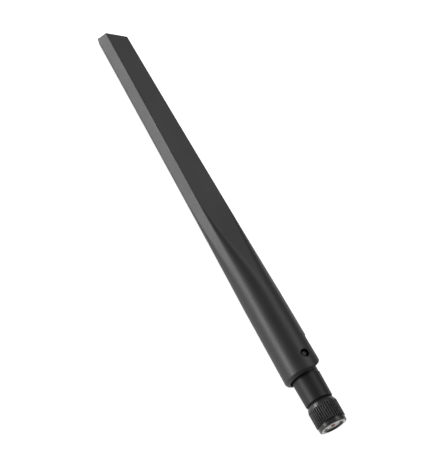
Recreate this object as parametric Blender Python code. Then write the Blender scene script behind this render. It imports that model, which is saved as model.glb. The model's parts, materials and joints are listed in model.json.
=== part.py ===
"""A wifi antenna that tilts and swivels on a screw-on coaxial plug.

Every piece is drawn along the antenna's own axis: height 0 is the plug's mouth and the tip is up.
The fold slot faces +X and the tilt axis runs along Y. The rest frame then lays the antenna on its
flat side, with the plug at +X and the tip at -X, so that the blade and the round base both touch
the ground.
"""

import math

import bmesh
import bpy
from mathutils import Matrix, Vector

MM = 0.001

# Clearances between neighbours
PRESS_GAP = 0.05 * MM
RUNNING_GAP = 0.10 * MM
HINGE_GAP = 0.30 * MM
TRACE_GAP = 0.02 * MM

# Coupling nut
THREAD_DIAMETER = 6.35 * MM
THREAD_DEPTH = 4.90 * MM
NUT_CORE_DIAMETER = 8.00 * MM
NUT_CORE_LENGTH = 7.40 * MM
MOUTH_CHAMFER = 0.25 * MM
KNURL_DIAMETER = 9.60 * MM
KNURL_DEPTH = 0.35 * MM
KNURL_RIDGES = 48
KNURL_CREST_SHARE = 0.45
KNURL_EDGE = 0.12 * MM
BAND_DIAMETER = 9.10 * MM
BAND_HEIGHT = 1.25 * MM
BAND_EDGE = 0.22 * MM
BAND_GROOVE_DEPTH = 0.22 * MM
BAND_GROOVE_HEIGHT = 0.30 * MM
SLEEVE_SETBACK = 0.10 * MM
SLEEVE_LIP = 0.75 * MM
SLEEVE_CHAMFER_HEIGHT = 1.10 * MM
SLEEVE_CHAMFER_WIDTH = 0.75 * MM
SLEEVE_TOP_EDGE = 0.10 * MM

# Snap ring that holds the nut, and the play that it leaves
SNAP_THICKNESS = 0.50 * MM
SNAP_WIDTH = 0.65 * MM
SNAP_OPENING = math.radians(40)
SNAP_FROM_SHOULDER = 1.35 * MM
NUT_PLAY = 0.80 * MM
SNAP_GROOVE_DEPTH = 0.40 * MM

# Plug body and what it holds
NECK_DIAMETER = 5.10 * MM
FRONT_RING_DIAMETER = 4.60 * MM
FRONT_RING_WALL = 0.25 * MM
FRONT_RING_SETBACK = 0.50 * MM
INSULATOR_SETBACK = 0.05 * MM
INSULATOR_STEP_DEPTH = 3.00 * MM
INSULATOR_STEP_WIDTH = 0.40 * MM
INSULATOR_LENGTH = 8.95 * MM
CONTACT_DIAMETER = 1.27 * MM
CONTACT_HOLE_DIAMETER = 0.94 * MM
CONTACT_HOLE_DEPTH = 3.20 * MM
CONTACT_PROUD = 0.20 * MM
CONTACT_TAIL = 1.10 * MM
GASKET_THICKNESS = 0.80 * MM
GASKET_WIDTH = 0.60 * MM
GASKET_FROM_SHOULDER = 0.15 * MM
TAIL_LENGTH = 4.40 * MM
TAIL_WALL = 0.40 * MM
FERRULE_WALL = 0.30 * MM
FERRULE_OVERHANG = 0.40 * MM

# Collar ring between the nut and the elbow
COLLAR_THICKNESS = 0.45 * MM
COLLAR_WIDTH = 1.65 * MM

# Elbow and the clip that it swivels on
STEM_INSET = 0.35 * MM
STEM_TAPER = 0.10 * MM
STEM_LENGTH = 8.35 * MM
STEM_EDGE = 0.30 * MM
SHOULDER_STEP = 0.15 * MM
KNUCKLE_CHEEK_DEPTH = 0.50 * MM
SWIVEL_DEPTH = 3.85 * MM
CLIP_HEIGHT = 2.40 * MM
CLIP_THICKNESS = 0.50 * MM
CLIP_WIDTH = 0.80 * MM
CLIP_OPENING = math.radians(70)
CLIP_GROOVE_DEPTH = 0.40 * MM
FERRULE_ROOM = 0.30 * MM
CABLE_BORE_DIAMETER = 2.40 * MM
CABLE_BORE_BELOW_PIVOT = 1.20 * MM
CABLE_SLOT_BELOW_PIVOT = 2.45 * MM
TRUNNION_DIAMETER = 2.60 * MM
TRUNNION_RECESS = 0.40 * MM

# Housing
PIVOT_ABOVE_RIM = 5.40 * MM
HOUSING_LENGTH = 127.80 * MM
BASE_DIAMETER = 13.00 * MM
HINGE_WALL = 1.30 * MM
ROUND_TAPER = 0.74 * MM
ROUND_LENGTH = 27.50 * MM
MORPH_LENGTH = 40.00 * MM
TIP_BEVEL_DISTANCE = 4.25 * MM
BLADE_HALF_THICKNESS = 3.20 * MM
BEVEL_ANGLE = math.radians(28.7)
BLADE_EDGE_RADIUS = 0.35 * MM
LEAST_EDGE_RADIUS = 0.09 * MM
RIM_FILLET = 1.00 * MM
WALL = 1.10 * MM
TIP_SLOPE = 0.52
TIP_CROWN = 0.045 / MM
TIP_EDGE = 0.50 * MM
TIP_WALL = 1.50 * MM
SLOT_ROOM = 0.50 * MM
SLOT_HEIGHT = 11.80 * MM
SLOT_FROM_AXIS = 1.60 * MM
CAVITY_FLAT = 0.50 * MM

# Cable, board and copper
CABLE_DIAMETER = 1.40 * MM
CABLE_BORE_GAP = 0.10 * MM
CONTACT_TO_CABLE = 0.20 * MM
HOLDER_BASE = 16.50 * MM
HOLDER_HEIGHT = 6.00 * MM
HOLDER_SLOT_DEPTH = 3.00 * MM
BOARD_WIDTH = 6.30 * MM
BOARD_THICKNESS = 0.60 * MM
BOARD_END_BELOW_TIP = 13.20 * MM
COPPER_THICKNESS = 0.10 * MM
COPPER_WIDTH = 4.60 * MM
COPPER_TAPER = 3.00 * MM
COPPER_SLOT_WIDTH = 2.20 * MM
COPPER_BRIDGE = 4.50 * MM
FEED_ABOVE_BOARD_END = 42.50 * MM
FEED_SPLIT = 1.60 * MM
UPPER_COPPER_MARGIN = 5.70 * MM
LOWER_COPPER_LENGTH = 33.00 * MM
FEED_PAD_WIDTH = 1.80 * MM
JACKET_END_BELOW_FEED = 6.00 * MM
BRAID_DIAMETER = 1.10 * MM
BRAID_LENGTH = 3.30 * MM
CORE_DIAMETER = 0.50 * MM
SHRINK_WALL = 0.12 * MM
SHRINK_LENGTH = 7.00 * MM
SHRINK_FROM_END = 1.20 * MM
SOLDER_RADIUS = 0.60 * MM
SOLDER_HEIGHT = 0.45 * MM
SADDLE_WIDTH = 1.20 * MM
SADDLE_LENGTH = 2.00 * MM

# Smoothness of the faceted surfaces
TURNED_STEPS = 40
BODY_STEPS = 32
SMALL_TURNED_STEPS = 20
ARC_STEPS = 6
BALL_STEPS = 9
SOLDER_STEPS = 3
REST_SAMPLES = 200
RIDGE_STEPS = 4
CORNER_STEPS = 9
MORPH_RINGS = 12
CABLE_RINGS = 30
SMOOTH_ANGLE = math.radians(32)

# Heights along the antenna's axis, each from the piece below it
SLEEVE_TOP = NUT_CORE_LENGTH + PRESS_GAP + SLEEVE_LIP
COLLAR_BOTTOM = SLEEVE_TOP + RUNNING_GAP
STEM_BOTTOM = COLLAR_BOTTOM + COLLAR_THICKNESS + RUNNING_GAP
SHOULDER = STEM_BOTTOM + STEM_LENGTH
RIM = SHOULDER + HINGE_GAP
PIVOT = RIM + PIVOT_ABOVE_RIM
TIP = RIM + HOUSING_LENGTH
ROUND_TOP = RIM + ROUND_LENGTH
MORPH_TOP = ROUND_TOP + MORPH_LENGTH
SNAP_BOTTOM = THREAD_DEPTH + SNAP_FROM_SHOULDER
SNAP_TOP = SNAP_BOTTOM + SNAP_THICKNESS
GASKET_TOP = THREAD_DEPTH - NUT_PLAY - GASKET_FROM_SHOULDER
NECK_BOTTOM = GASKET_TOP + RUNNING_GAP
INSULATOR_BOTTOM = FRONT_RING_SETBACK + INSULATOR_SETBACK
INSULATOR_TOP = INSULATOR_BOTTOM + INSULATOR_LENGTH
CONTACT_BOTTOM = INSULATOR_BOTTOM - CONTACT_PROUD
CONTACT_TOP = INSULATOR_TOP + CONTACT_TAIL
NECK_TOP = STEM_BOTTOM + SWIVEL_DEPTH - RUNNING_GAP
TAIL_TOP = NECK_TOP + TAIL_LENGTH
FERRULE_BOTTOM = NECK_TOP + RUNNING_GAP
FERRULE_TOP = TAIL_TOP + FERRULE_OVERHANG
CLIP_BOTTOM = STEM_BOTTOM + CLIP_HEIGHT
CABLE_START = CONTACT_TOP + CONTACT_TO_CABLE
HOLDER_BOTTOM = RIM + HOLDER_BASE
HOLDER_TOP = HOLDER_BOTTOM + HOLDER_HEIGHT
BOARD_BOTTOM = HOLDER_TOP - HOLDER_SLOT_DEPTH + RUNNING_GAP
BOARD_TOP = TIP - BOARD_END_BELOW_TIP
FEED = BOARD_BOTTOM + FEED_ABOVE_BOARD_END
JACKET_END = FEED - JACKET_END_BELOW_FEED

# Radii that two or more pieces share
NECK_RADIUS = NECK_DIAMETER / 2
FRONT_RADIUS = FRONT_RING_DIAMETER / 2
INSULATOR_ROOM = FRONT_RADIUS - FRONT_RING_WALL
INSULATOR_BACK_ROOM = INSULATOR_ROOM - INSULATOR_STEP_WIDTH
CABLE_RADIUS = CABLE_DIAMETER / 2
CABLE_ROOM = CABLE_RADIUS + CABLE_BORE_GAP
TAIL_RADIUS = CABLE_ROOM + TAIL_WALL
FERRULE_RADIUS = TAIL_RADIUS + RUNNING_GAP + FERRULE_WALL
TRUNNION_RADIUS = TRUNNION_DIAMETER / 2
ROUND_END_DIAMETER = BASE_DIAMETER - ROUND_TAPER
KNUCKLE_RADIUS = BASE_DIAMETER / 2 - HINGE_WALL - HINGE_GAP
KNUCKLE_HALF_WIDTH = KNUCKLE_RADIUS - KNUCKLE_CHEEK_DEPTH
SLOT_HALF_WIDTH = KNUCKLE_HALF_WIDTH + SLOT_ROOM
STEM_RADIUS = KNUCKLE_RADIUS - STEM_INSET
STEM_END_RADIUS = STEM_RADIUS - STEM_TAPER
COPPER_FACE = BOARD_THICKNESS / 2 + TRACE_GAP + COPPER_THICKNESS
CABLE_OFFSET = COPPER_FACE + PRESS_GAP + CABLE_RADIUS


# Shared modelling steps


def clear_scene():
    for thing in list(bpy.data.objects):
        bpy.data.objects.remove(thing, do_unlink=True)


def surface(name, colour, roughness, metallic=0.0):
    """A plain finish for one piece."""
    material = bpy.data.materials.new(name)
    material.use_nodes = True
    shader = material.node_tree.nodes["Principled BSDF"]
    shader.inputs["Base Color"].default_value = (*colour, 1.0)
    shader.inputs["Roughness"].default_value = roughness
    shader.inputs["Metallic"].default_value = metallic
    return material


def frame_empty(name, height, parent=None):
    """An empty on the antenna's axis, which the pieces that turn there are parented to."""
    empty = bpy.data.objects.new(name, None)
    empty.empty_display_size = 5 * MM
    bpy.context.scene.collection.objects.link(empty)
    empty["height"] = height
    empty.parent = parent
    empty.location = (0.0, 0.0, height - (parent["height"] if parent else 0.0))
    return empty


def add_piece(name, mesh, anchor, material=None):
    """Turns a bmesh drawn at its antenna height into an object whose origin is its anchor."""
    bmesh.ops.remove_doubles(mesh, verts=mesh.verts, dist=0.0005 * MM)
    bmesh.ops.recalc_face_normals(mesh, faces=mesh.faces)
    bmesh.ops.translate(mesh, vec=(0.0, 0.0, -anchor["height"]), verts=mesh.verts)
    data = bpy.data.meshes.new(name)
    mesh.to_mesh(data)
    mesh.free()
    data.shade_smooth()
    data.set_sharp_from_angle(angle=SMOOTH_ANGLE)
    piece = bpy.data.objects.new(name, data)
    bpy.context.scene.collection.objects.link(piece)
    piece.parent = anchor
    if material:
        data.materials.append(material)
    return piece


def add_cutter(name, mesh, anchor):
    """A shape that only cuts or joins: it is drawn as wire and left out of renders."""
    cutter = add_piece(name, mesh, anchor)
    cutter.hide_render = True
    cutter.display_type = "WIRE"
    return cutter


def boolean(piece, operation, other):
    modifier = piece.modifiers.new(other.name, "BOOLEAN")
    modifier.operation = operation
    modifier.solver = "EXACT"
    modifier.object = other


def turned(profile, steps=TURNED_STEPS):
    """Spins a (radius, height) outline round the axis. An outline off the axis is a closed loop."""
    mesh = bmesh.new()
    corners = [mesh.verts.new((radius, 0.0, height)) for radius, height in profile]
    edges = [mesh.edges.new(pair) for pair in zip(corners, corners[1:])]
    if min(radius for radius, height in profile) > 0:
        edges.append(mesh.edges.new((corners[-1], corners[0])))
    bmesh.ops.spin(
        mesh,
        geom=corners + edges,
        cent=(0, 0, 0),
        axis=(0, 0, 1),
        angle=math.tau,
        steps=steps,
        use_merge=True,
    )
    return mesh


def open_ring(inner, outer, bottom, top, opening, steps=BODY_STEPS):
    """A flat ring with a gap of the given angle, as a snap ring or a clip has."""
    mesh = bmesh.new()
    corners = ((inner, bottom), (outer, bottom), (outer, top), (inner, top))
    start = mesh.faces.new([mesh.verts.new((radius, 0.0, height)) for radius, height in corners])
    bmesh.ops.rotate(mesh, verts=mesh.verts, cent=(0, 0, 0), matrix=Matrix.Rotation(opening / 2, 3, "Z"))
    bmesh.ops.spin(
        mesh,
        geom=[start, *start.edges, *start.verts],
        cent=(0, 0, 0),
        axis=(0, 0, 1),
        angle=math.tau - opening,
        steps=steps,
    )
    return mesh


def rod(radius, start, end, steps=SMALL_TURNED_STEPS):
    """A round bar between two points."""
    start, end = Vector(start), Vector(end)
    mesh = bmesh.new()
    bmesh.ops.create_cone(
        mesh, cap_ends=True, segments=steps, radius1=radius, radius2=radius, depth=(end - start).length
    )
    turn = (end - start).to_track_quat("Z", "Y").to_matrix().to_4x4()
    mesh.transform(Matrix.Translation((start + end) / 2) @ turn)
    return mesh


def block(low, high):
    low, high = Vector(low), Vector(high)
    mesh = bmesh.new()
    bmesh.ops.create_cube(mesh, size=1.0)
    mesh.transform(Matrix.Translation((low + high) / 2) @ Matrix.Diagonal((*(high - low), 1.0)))
    return mesh


def plate(outline, near, far):
    """Extrudes an (x, height) outline along Y, from near to far."""
    mesh = bmesh.new()
    face = mesh.faces.new([mesh.verts.new((x, near, height)) for x, height in outline])
    made = bmesh.ops.extrude_face_region(mesh, geom=[face])
    moved = [item for item in made["geom"] if isinstance(item, bmesh.types.BMVert)]
    bmesh.ops.translate(mesh, vec=(0.0, far - near, 0.0), verts=moved)
    return mesh


def arc(centre, radius, start, end, steps):
    """Points on an arc, both ends included."""
    angles = [start + (end - start) * step / steps for step in range(steps + 1)]
    return [(centre[0] + radius * math.cos(a), centre[1] + radius * math.sin(a)) for a in angles]


def blend(low, high, share):
    return low + (high - low) * share


def smooth_share(value, low, high):
    share = min(1.0, max(0.0, (value - low) / (high - low)))
    return share * share * (3 - 2 * share)


def skin(rings):
    """Joins rings of equally many points, given in order, with strips of faces."""
    mesh = bmesh.new()
    loops = [[mesh.verts.new(point) for point in ring] for ring in rings]
    for lower, upper in zip(loops, loops[1:]):
        for here in range(len(lower)):
            after = (here + 1) % len(lower)
            mesh.faces.new((lower[here], lower[after], upper[after], upper[here]))
    return mesh, loops


# Coupling nut


def nut_core(anchor):
    """Nickel-plated nut: threaded mouth, shoulder, and the inner groove of the snap ring."""
    outer = NUT_CORE_DIAMETER / 2
    thread = THREAD_DIAMETER / 2
    back = NECK_RADIUS + RUNNING_GAP
    groove = NECK_RADIUS - SNAP_GROOVE_DEPTH + RUNNING_GAP + SNAP_WIDTH + RUNNING_GAP
    profile = (
        (thread + MOUTH_CHAMFER, 0.0),
        (outer, 0.0),
        (outer, NUT_CORE_LENGTH),
        (back, NUT_CORE_LENGTH),
        (back, SNAP_TOP + RUNNING_GAP),
        (groove, SNAP_TOP + RUNNING_GAP),
        (groove, SNAP_BOTTOM - RUNNING_GAP),
        (back, SNAP_BOTTOM - RUNNING_GAP),
        (back, THREAD_DEPTH),
        (thread, THREAD_DEPTH),
        (thread, MOUTH_CHAMFER),
    )
    finish = surface("nickel_nut", (0.62, 0.61, 0.58), 0.25, 1.0)
    add_piece("nut_core", turned(profile), anchor, finish)


def knurl_ring(crest, valley, height):
    """One ring of the knurled sleeve: a flat crest and a V groove for each ridge."""
    pitch = math.tau / KNURL_RIDGES
    ring = []
    for ridge in range(KNURL_RIDGES):
        for share, radius in (
            (0.0, crest),
            (KNURL_CREST_SHARE, crest),
            ((1 + KNURL_CREST_SHARE) / 2, valley),
        ):
            angle = (ridge + share) * pitch
            ring.append((radius * math.cos(angle), radius * math.sin(angle), height))
    return ring


def nut_sleeve(anchor):
    """Black grip moulded round the nut: smooth lower band, straight knurl, chamfered top."""
    crest = KNURL_DIAMETER / 2
    valley = crest - KNURL_DEPTH
    band = BAND_DIAMETER / 2
    groove = band - BAND_GROOVE_DEPTH
    bore = NUT_CORE_DIAMETER / 2 + PRESS_GAP
    hole = NECK_RADIUS + RUNNING_GAP + PRESS_GAP
    bottom = SLEEVE_SETBACK
    band_top = bottom + BAND_HEIGHT
    knurl_bottom = band_top + BAND_GROOVE_HEIGHT
    chamfer_bottom = SLEEVE_TOP - SLEEVE_TOP_EDGE - SLEEVE_CHAMFER_HEIGHT
    chamfer_end = crest - SLEEVE_CHAMFER_WIDTH
    valley_runout = chamfer_bottom + SLEEVE_CHAMFER_HEIGHT * KNURL_DEPTH / SLEEVE_CHAMFER_WIDTH
    lip_bottom = SLEEVE_TOP - SLEEVE_LIP
    steps = (
        (bore, bore, bottom),
        (band - BAND_EDGE, band - BAND_EDGE, bottom),
        (band, band, bottom + BAND_EDGE),
        (band, band, band_top),
        (groove, groove, band_top + BAND_GROOVE_DEPTH / 2),
        (groove, groove, knurl_bottom),
        (crest - KNURL_EDGE, valley, knurl_bottom),
        (crest, valley, knurl_bottom + KNURL_EDGE),
        (crest, valley, chamfer_bottom),
        (valley, valley, valley_runout),
        (chamfer_end, chamfer_end, SLEEVE_TOP - SLEEVE_TOP_EDGE),
        (chamfer_end - SLEEVE_TOP_EDGE, chamfer_end - SLEEVE_TOP_EDGE, SLEEVE_TOP),
        (hole, hole, SLEEVE_TOP),
        (hole, hole, lip_bottom),
        (bore, bore, lip_bottom),
        (bore, bore, bottom),
    )
    mesh, loops = skin([knurl_ring(*step) for step in steps])
    finish = surface("gloss_black_sleeve", (0.012, 0.012, 0.013), 0.22)
    add_piece("nut_sleeve", mesh, anchor, finish)


def snap_ring(anchor):
    inner = NECK_RADIUS - SNAP_GROOVE_DEPTH + RUNNING_GAP
    mesh = open_ring(inner, inner + SNAP_WIDTH, SNAP_BOTTOM, SNAP_TOP, SNAP_OPENING)
    add_piece("snap_ring", mesh, anchor, surface("spring_steel_ring", (0.45, 0.45, 0.46), 0.35, 1.0))


# Plug body and what it holds


def connector_body(anchor):
    """Turned body: front ring, neck with the two ring grooves, and the crimp tail."""
    snap_floor = NECK_RADIUS - SNAP_GROOVE_DEPTH
    clip_floor = NECK_RADIUS - CLIP_GROOVE_DEPTH
    step = FRONT_RING_SETBACK + INSULATOR_SETBACK + INSULATOR_STEP_DEPTH + RUNNING_GAP
    seat = INSULATOR_TOP + RUNNING_GAP
    profile = (
        (INSULATOR_ROOM, FRONT_RING_SETBACK),
        (FRONT_RADIUS, FRONT_RING_SETBACK),
        (FRONT_RADIUS, NECK_BOTTOM),
        (NECK_RADIUS, NECK_BOTTOM),
        (NECK_RADIUS, SNAP_BOTTOM - NUT_PLAY - RUNNING_GAP),
        (snap_floor, SNAP_BOTTOM - NUT_PLAY - RUNNING_GAP),
        (snap_floor, SNAP_TOP + RUNNING_GAP),
        (NECK_RADIUS, SNAP_TOP + RUNNING_GAP),
        (NECK_RADIUS, CLIP_BOTTOM - RUNNING_GAP),
        (clip_floor, CLIP_BOTTOM - RUNNING_GAP),
        (clip_floor, CLIP_BOTTOM + CLIP_THICKNESS + RUNNING_GAP),
        (NECK_RADIUS, CLIP_BOTTOM + CLIP_THICKNESS + RUNNING_GAP),
        (NECK_RADIUS, NECK_TOP),
        (TAIL_RADIUS, NECK_TOP),
        (TAIL_RADIUS, TAIL_TOP),
        (CABLE_ROOM, TAIL_TOP),
        (CABLE_ROOM, seat),
        (INSULATOR_BACK_ROOM, seat),
        (INSULATOR_BACK_ROOM, step),
        (INSULATOR_ROOM, step),
    )
    finish = surface("nickel_body", (0.66, 0.64, 0.60), 0.28, 1.0)
    add_piece("connector_body", turned(profile, BODY_STEPS), anchor, finish)


def insulator(anchor):
    """White insulator: a wide front, a narrower back, and the contact's bore."""
    front = INSULATOR_ROOM - PRESS_GAP
    back = INSULATOR_BACK_ROOM - PRESS_GAP
    bore = CONTACT_DIAMETER / 2 + PRESS_GAP
    step = INSULATOR_BOTTOM + INSULATOR_STEP_DEPTH
    profile = (
        (bore, INSULATOR_BOTTOM),
        (front, INSULATOR_BOTTOM),
        (front, step),
        (back, step),
        (back, INSULATOR_TOP),
        (bore, INSULATOR_TOP),
    )
    finish = surface("white_insulator", (0.80, 0.79, 0.76), 0.45)
    add_piece("insulator", turned(profile, BODY_STEPS), anchor, finish)


def centre_contact(anchor):
    """Gold-plated socket with a hole in its front end."""
    outer = CONTACT_DIAMETER / 2
    hole = CONTACT_HOLE_DIAMETER / 2
    profile = (
        (0.0, CONTACT_BOTTOM + CONTACT_HOLE_DEPTH),
        (hole, CONTACT_BOTTOM + CONTACT_HOLE_DEPTH),
        (hole, CONTACT_BOTTOM),
        (outer, CONTACT_BOTTOM),
        (outer, CONTACT_TOP),
        (0.0, CONTACT_TOP),
    )
    finish = surface("gold_contact", (0.75, 0.42, 0.22), 0.25, 1.0)
    add_piece("centre_contact", turned(profile, SMALL_TURNED_STEPS), anchor, finish)


def sealing_gasket(anchor):
    inner = FRONT_RADIUS + RUNNING_GAP
    bottom = GASKET_TOP - GASKET_THICKNESS
    profile = (
        (inner, bottom),
        (inner + GASKET_WIDTH, bottom),
        (inner + GASKET_WIDTH, GASKET_TOP),
        (inner, GASKET_TOP),
    )
    finish = surface("red_gasket", (0.30, 0.05, 0.03), 0.6)
    add_piece("sealing_gasket", turned(profile, BODY_STEPS), anchor, finish)


def crimp_ferrule(anchor):
    inner = TAIL_RADIUS + RUNNING_GAP
    profile = (
        (inner, FERRULE_BOTTOM),
        (FERRULE_RADIUS, FERRULE_BOTTOM),
        (FERRULE_RADIUS, FERRULE_TOP),
        (inner, FERRULE_TOP),
    )
    finish = surface("nickel_ferrule", (0.60, 0.58, 0.54), 0.35, 1.0)
    add_piece("crimp_ferrule", turned(profile, SMALL_TURNED_STEPS), anchor, finish)


def collar_ring(anchor):
    inner = NECK_RADIUS + RUNNING_GAP
    outer = NECK_RADIUS + COLLAR_WIDTH
    top = COLLAR_BOTTOM + COLLAR_THICKNESS
    profile = ((inner, COLLAR_BOTTOM), (outer, COLLAR_BOTTOM), (outer, top), (inner, top))
    add_piece("collar_ring", turned(profile), anchor, surface("black_collar", (0.010, 0.010, 0.011), 0.40))


def retaining_clip(anchor):
    inner = NECK_RADIUS - CLIP_GROOVE_DEPTH + RUNNING_GAP
    mesh = open_ring(inner, inner + CLIP_WIDTH, CLIP_BOTTOM, CLIP_BOTTOM + CLIP_THICKNESS, CLIP_OPENING)
    add_piece("retaining_clip", mesh, anchor, surface("spring_steel_clip", (0.42, 0.42, 0.44), 0.4, 1.0))


# Elbow


def elbow(anchor):
    """One moulding: round stem, ball knuckle with flat cheeks, and the two bosses it tilts on."""
    neck = STEM_RADIUS - SHOULDER_STEP
    swivel = NECK_RADIUS + RUNNING_GAP
    swivel_top = STEM_BOTTOM + SWIVEL_DEPTH
    clip_room = NECK_RADIUS - CLIP_GROOVE_DEPTH + RUNNING_GAP + CLIP_WIDTH + RUNNING_GAP
    clip_low = CLIP_BOTTOM - RUNNING_GAP
    clip_high = CLIP_BOTTOM + CLIP_THICKNESS + RUNNING_GAP
    ferrule_room = FERRULE_RADIUS + FERRULE_ROOM
    ferrule_top = FERRULE_TOP + FERRULE_ROOM
    bore = CABLE_BORE_DIAMETER / 2
    bore_top = PIVOT - CABLE_BORE_BELOW_PIVOT
    ball_start = -math.acos(neck / KNUCKLE_RADIUS)
    ball = arc((0.0, PIVOT), KNUCKLE_RADIUS, ball_start, math.pi / 2, BALL_STEPS)
    profile = [
        (STEM_END_RADIUS - STEM_EDGE, STEM_BOTTOM),
        (STEM_END_RADIUS, STEM_BOTTOM + STEM_EDGE),
        (STEM_RADIUS, SHOULDER - SHOULDER_STEP),
        (neck, SHOULDER),
        *ball[:-1],
        (0.0, PIVOT + KNUCKLE_RADIUS),
    ]
    inside = [
        (0.0, bore_top),
        (bore, bore_top),
        (bore, ferrule_top),
        (ferrule_room, ferrule_top),
        (ferrule_room, swivel_top),
        (swivel, swivel_top),
        (swivel, clip_high),
        (clip_room, clip_high),
        (clip_room, clip_low),
        (swivel, clip_low),
        (swivel, STEM_BOTTOM),
    ]
    piece = add_piece(
        "elbow",
        turned(inside + profile),
        anchor,
        surface("black_elbow", (0.020, 0.020, 0.021), 0.45),
    )
    reach = 2 * KNUCKLE_RADIUS
    for name, side in (("far_cheek_cutter", 1), ("near_cheek_cutter", -1)):
        sides = sorted((side * KNUCKLE_HALF_WIDTH, side * reach))
        cheek = block((-reach, sides[0], SHOULDER + SHOULDER_STEP), (reach, sides[1], PIVOT + reach))
        boolean(piece, "DIFFERENCE", add_cutter(name, cheek, anchor))
    boss_end = outer_size(PIVOT)[1] - TRUNNION_RECESS
    boss = rod(TRUNNION_RADIUS, (0.0, -boss_end, PIVOT), (0.0, boss_end, PIVOT))
    boolean(piece, "UNION", add_cutter("trunnion_core", boss, anchor))
    slot = block((-bore, -bore, PIVOT - CABLE_SLOT_BELOW_PIVOT), (reach, bore, PIVOT + reach))
    boolean(piece, "DIFFERENCE", add_cutter("cable_slot_cutter", slot, anchor))


# Housing


def outer_size(height):
    """Distance from the axis to the side bevels and to the flats, and the corner radius."""
    if height < ROUND_TOP:
        share = (height - RIM) / ROUND_LENGTH
        radius = blend(BASE_DIAMETER, ROUND_END_DIAMETER, share) / 2
        return radius, radius, radius
    taper = (height - ROUND_TOP) / (TIP - ROUND_TOP)
    bevel = blend(ROUND_END_DIAMETER / 2, TIP_BEVEL_DISTANCE, taper)
    share = smooth_share(height, ROUND_TOP, MORPH_TOP)
    flat = blend(bevel, BLADE_HALF_THICKNESS, share)
    radius = blend(bevel, BLADE_EDGE_RADIUS, share)
    return bevel, flat, radius


def inner_size(height):
    bevel, flat, radius = (size - WALL for size in outer_size(height))
    return bevel, flat, max(radius, BLADE_EDGE_RADIUS)


def section(bevel, flat, radius):
    """A hexagon with two flats and four side bevels, rounded at its corners: a circle at one end."""
    core_flat = flat - radius
    core_ridge = (bevel - radius) / math.cos(BEVEL_ANGLE)
    core_edge = core_ridge - core_flat * math.tan(BEVEL_ANGLE)
    quarter = math.pi / 2
    half = [
        *arc((core_ridge, 0.0), radius, 0.0, BEVEL_ANGLE, RIDGE_STEPS),
        *arc((core_edge, core_flat), radius, BEVEL_ANGLE, quarter, CORNER_STEPS),
        *arc((-core_edge, core_flat), radius, quarter, math.pi - BEVEL_ANGLE, CORNER_STEPS),
        *arc((-core_ridge, 0.0), radius, math.pi - BEVEL_ANGLE, math.pi, RIDGE_STEPS),
    ]
    return half + [(x, -y) for x, y in reversed(half[1:-1])]


def level_ring(size, height):
    return [(x, y, height) for x, y in section(*size)]


def slanted_ring(size, height):
    """A ring on the tip's slanted, slightly crowned end. It drops towards the fold side."""
    return [(x, y, height - TIP_SLOPE * x - TIP_CROWN * x * x) for x, y in section(*size)]


def inset(size, amount):
    bevel, flat, radius = size
    return bevel - amount, flat - amount, max(radius - amount, LEAST_EDGE_RADIUS)


def cap_end(mesh, loop, inward):
    """Closes a ring with strips across its narrow way, so that the crown stays smooth."""
    count = len(loop)
    for here in range(count // 2):
        after = here + 1
        corners = [loop[here], loop[after], loop[-after % count], loop[-here % count]]
        corners = list(dict.fromkeys(corners))
        mesh.faces.new(reversed(corners) if inward else corners)


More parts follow.
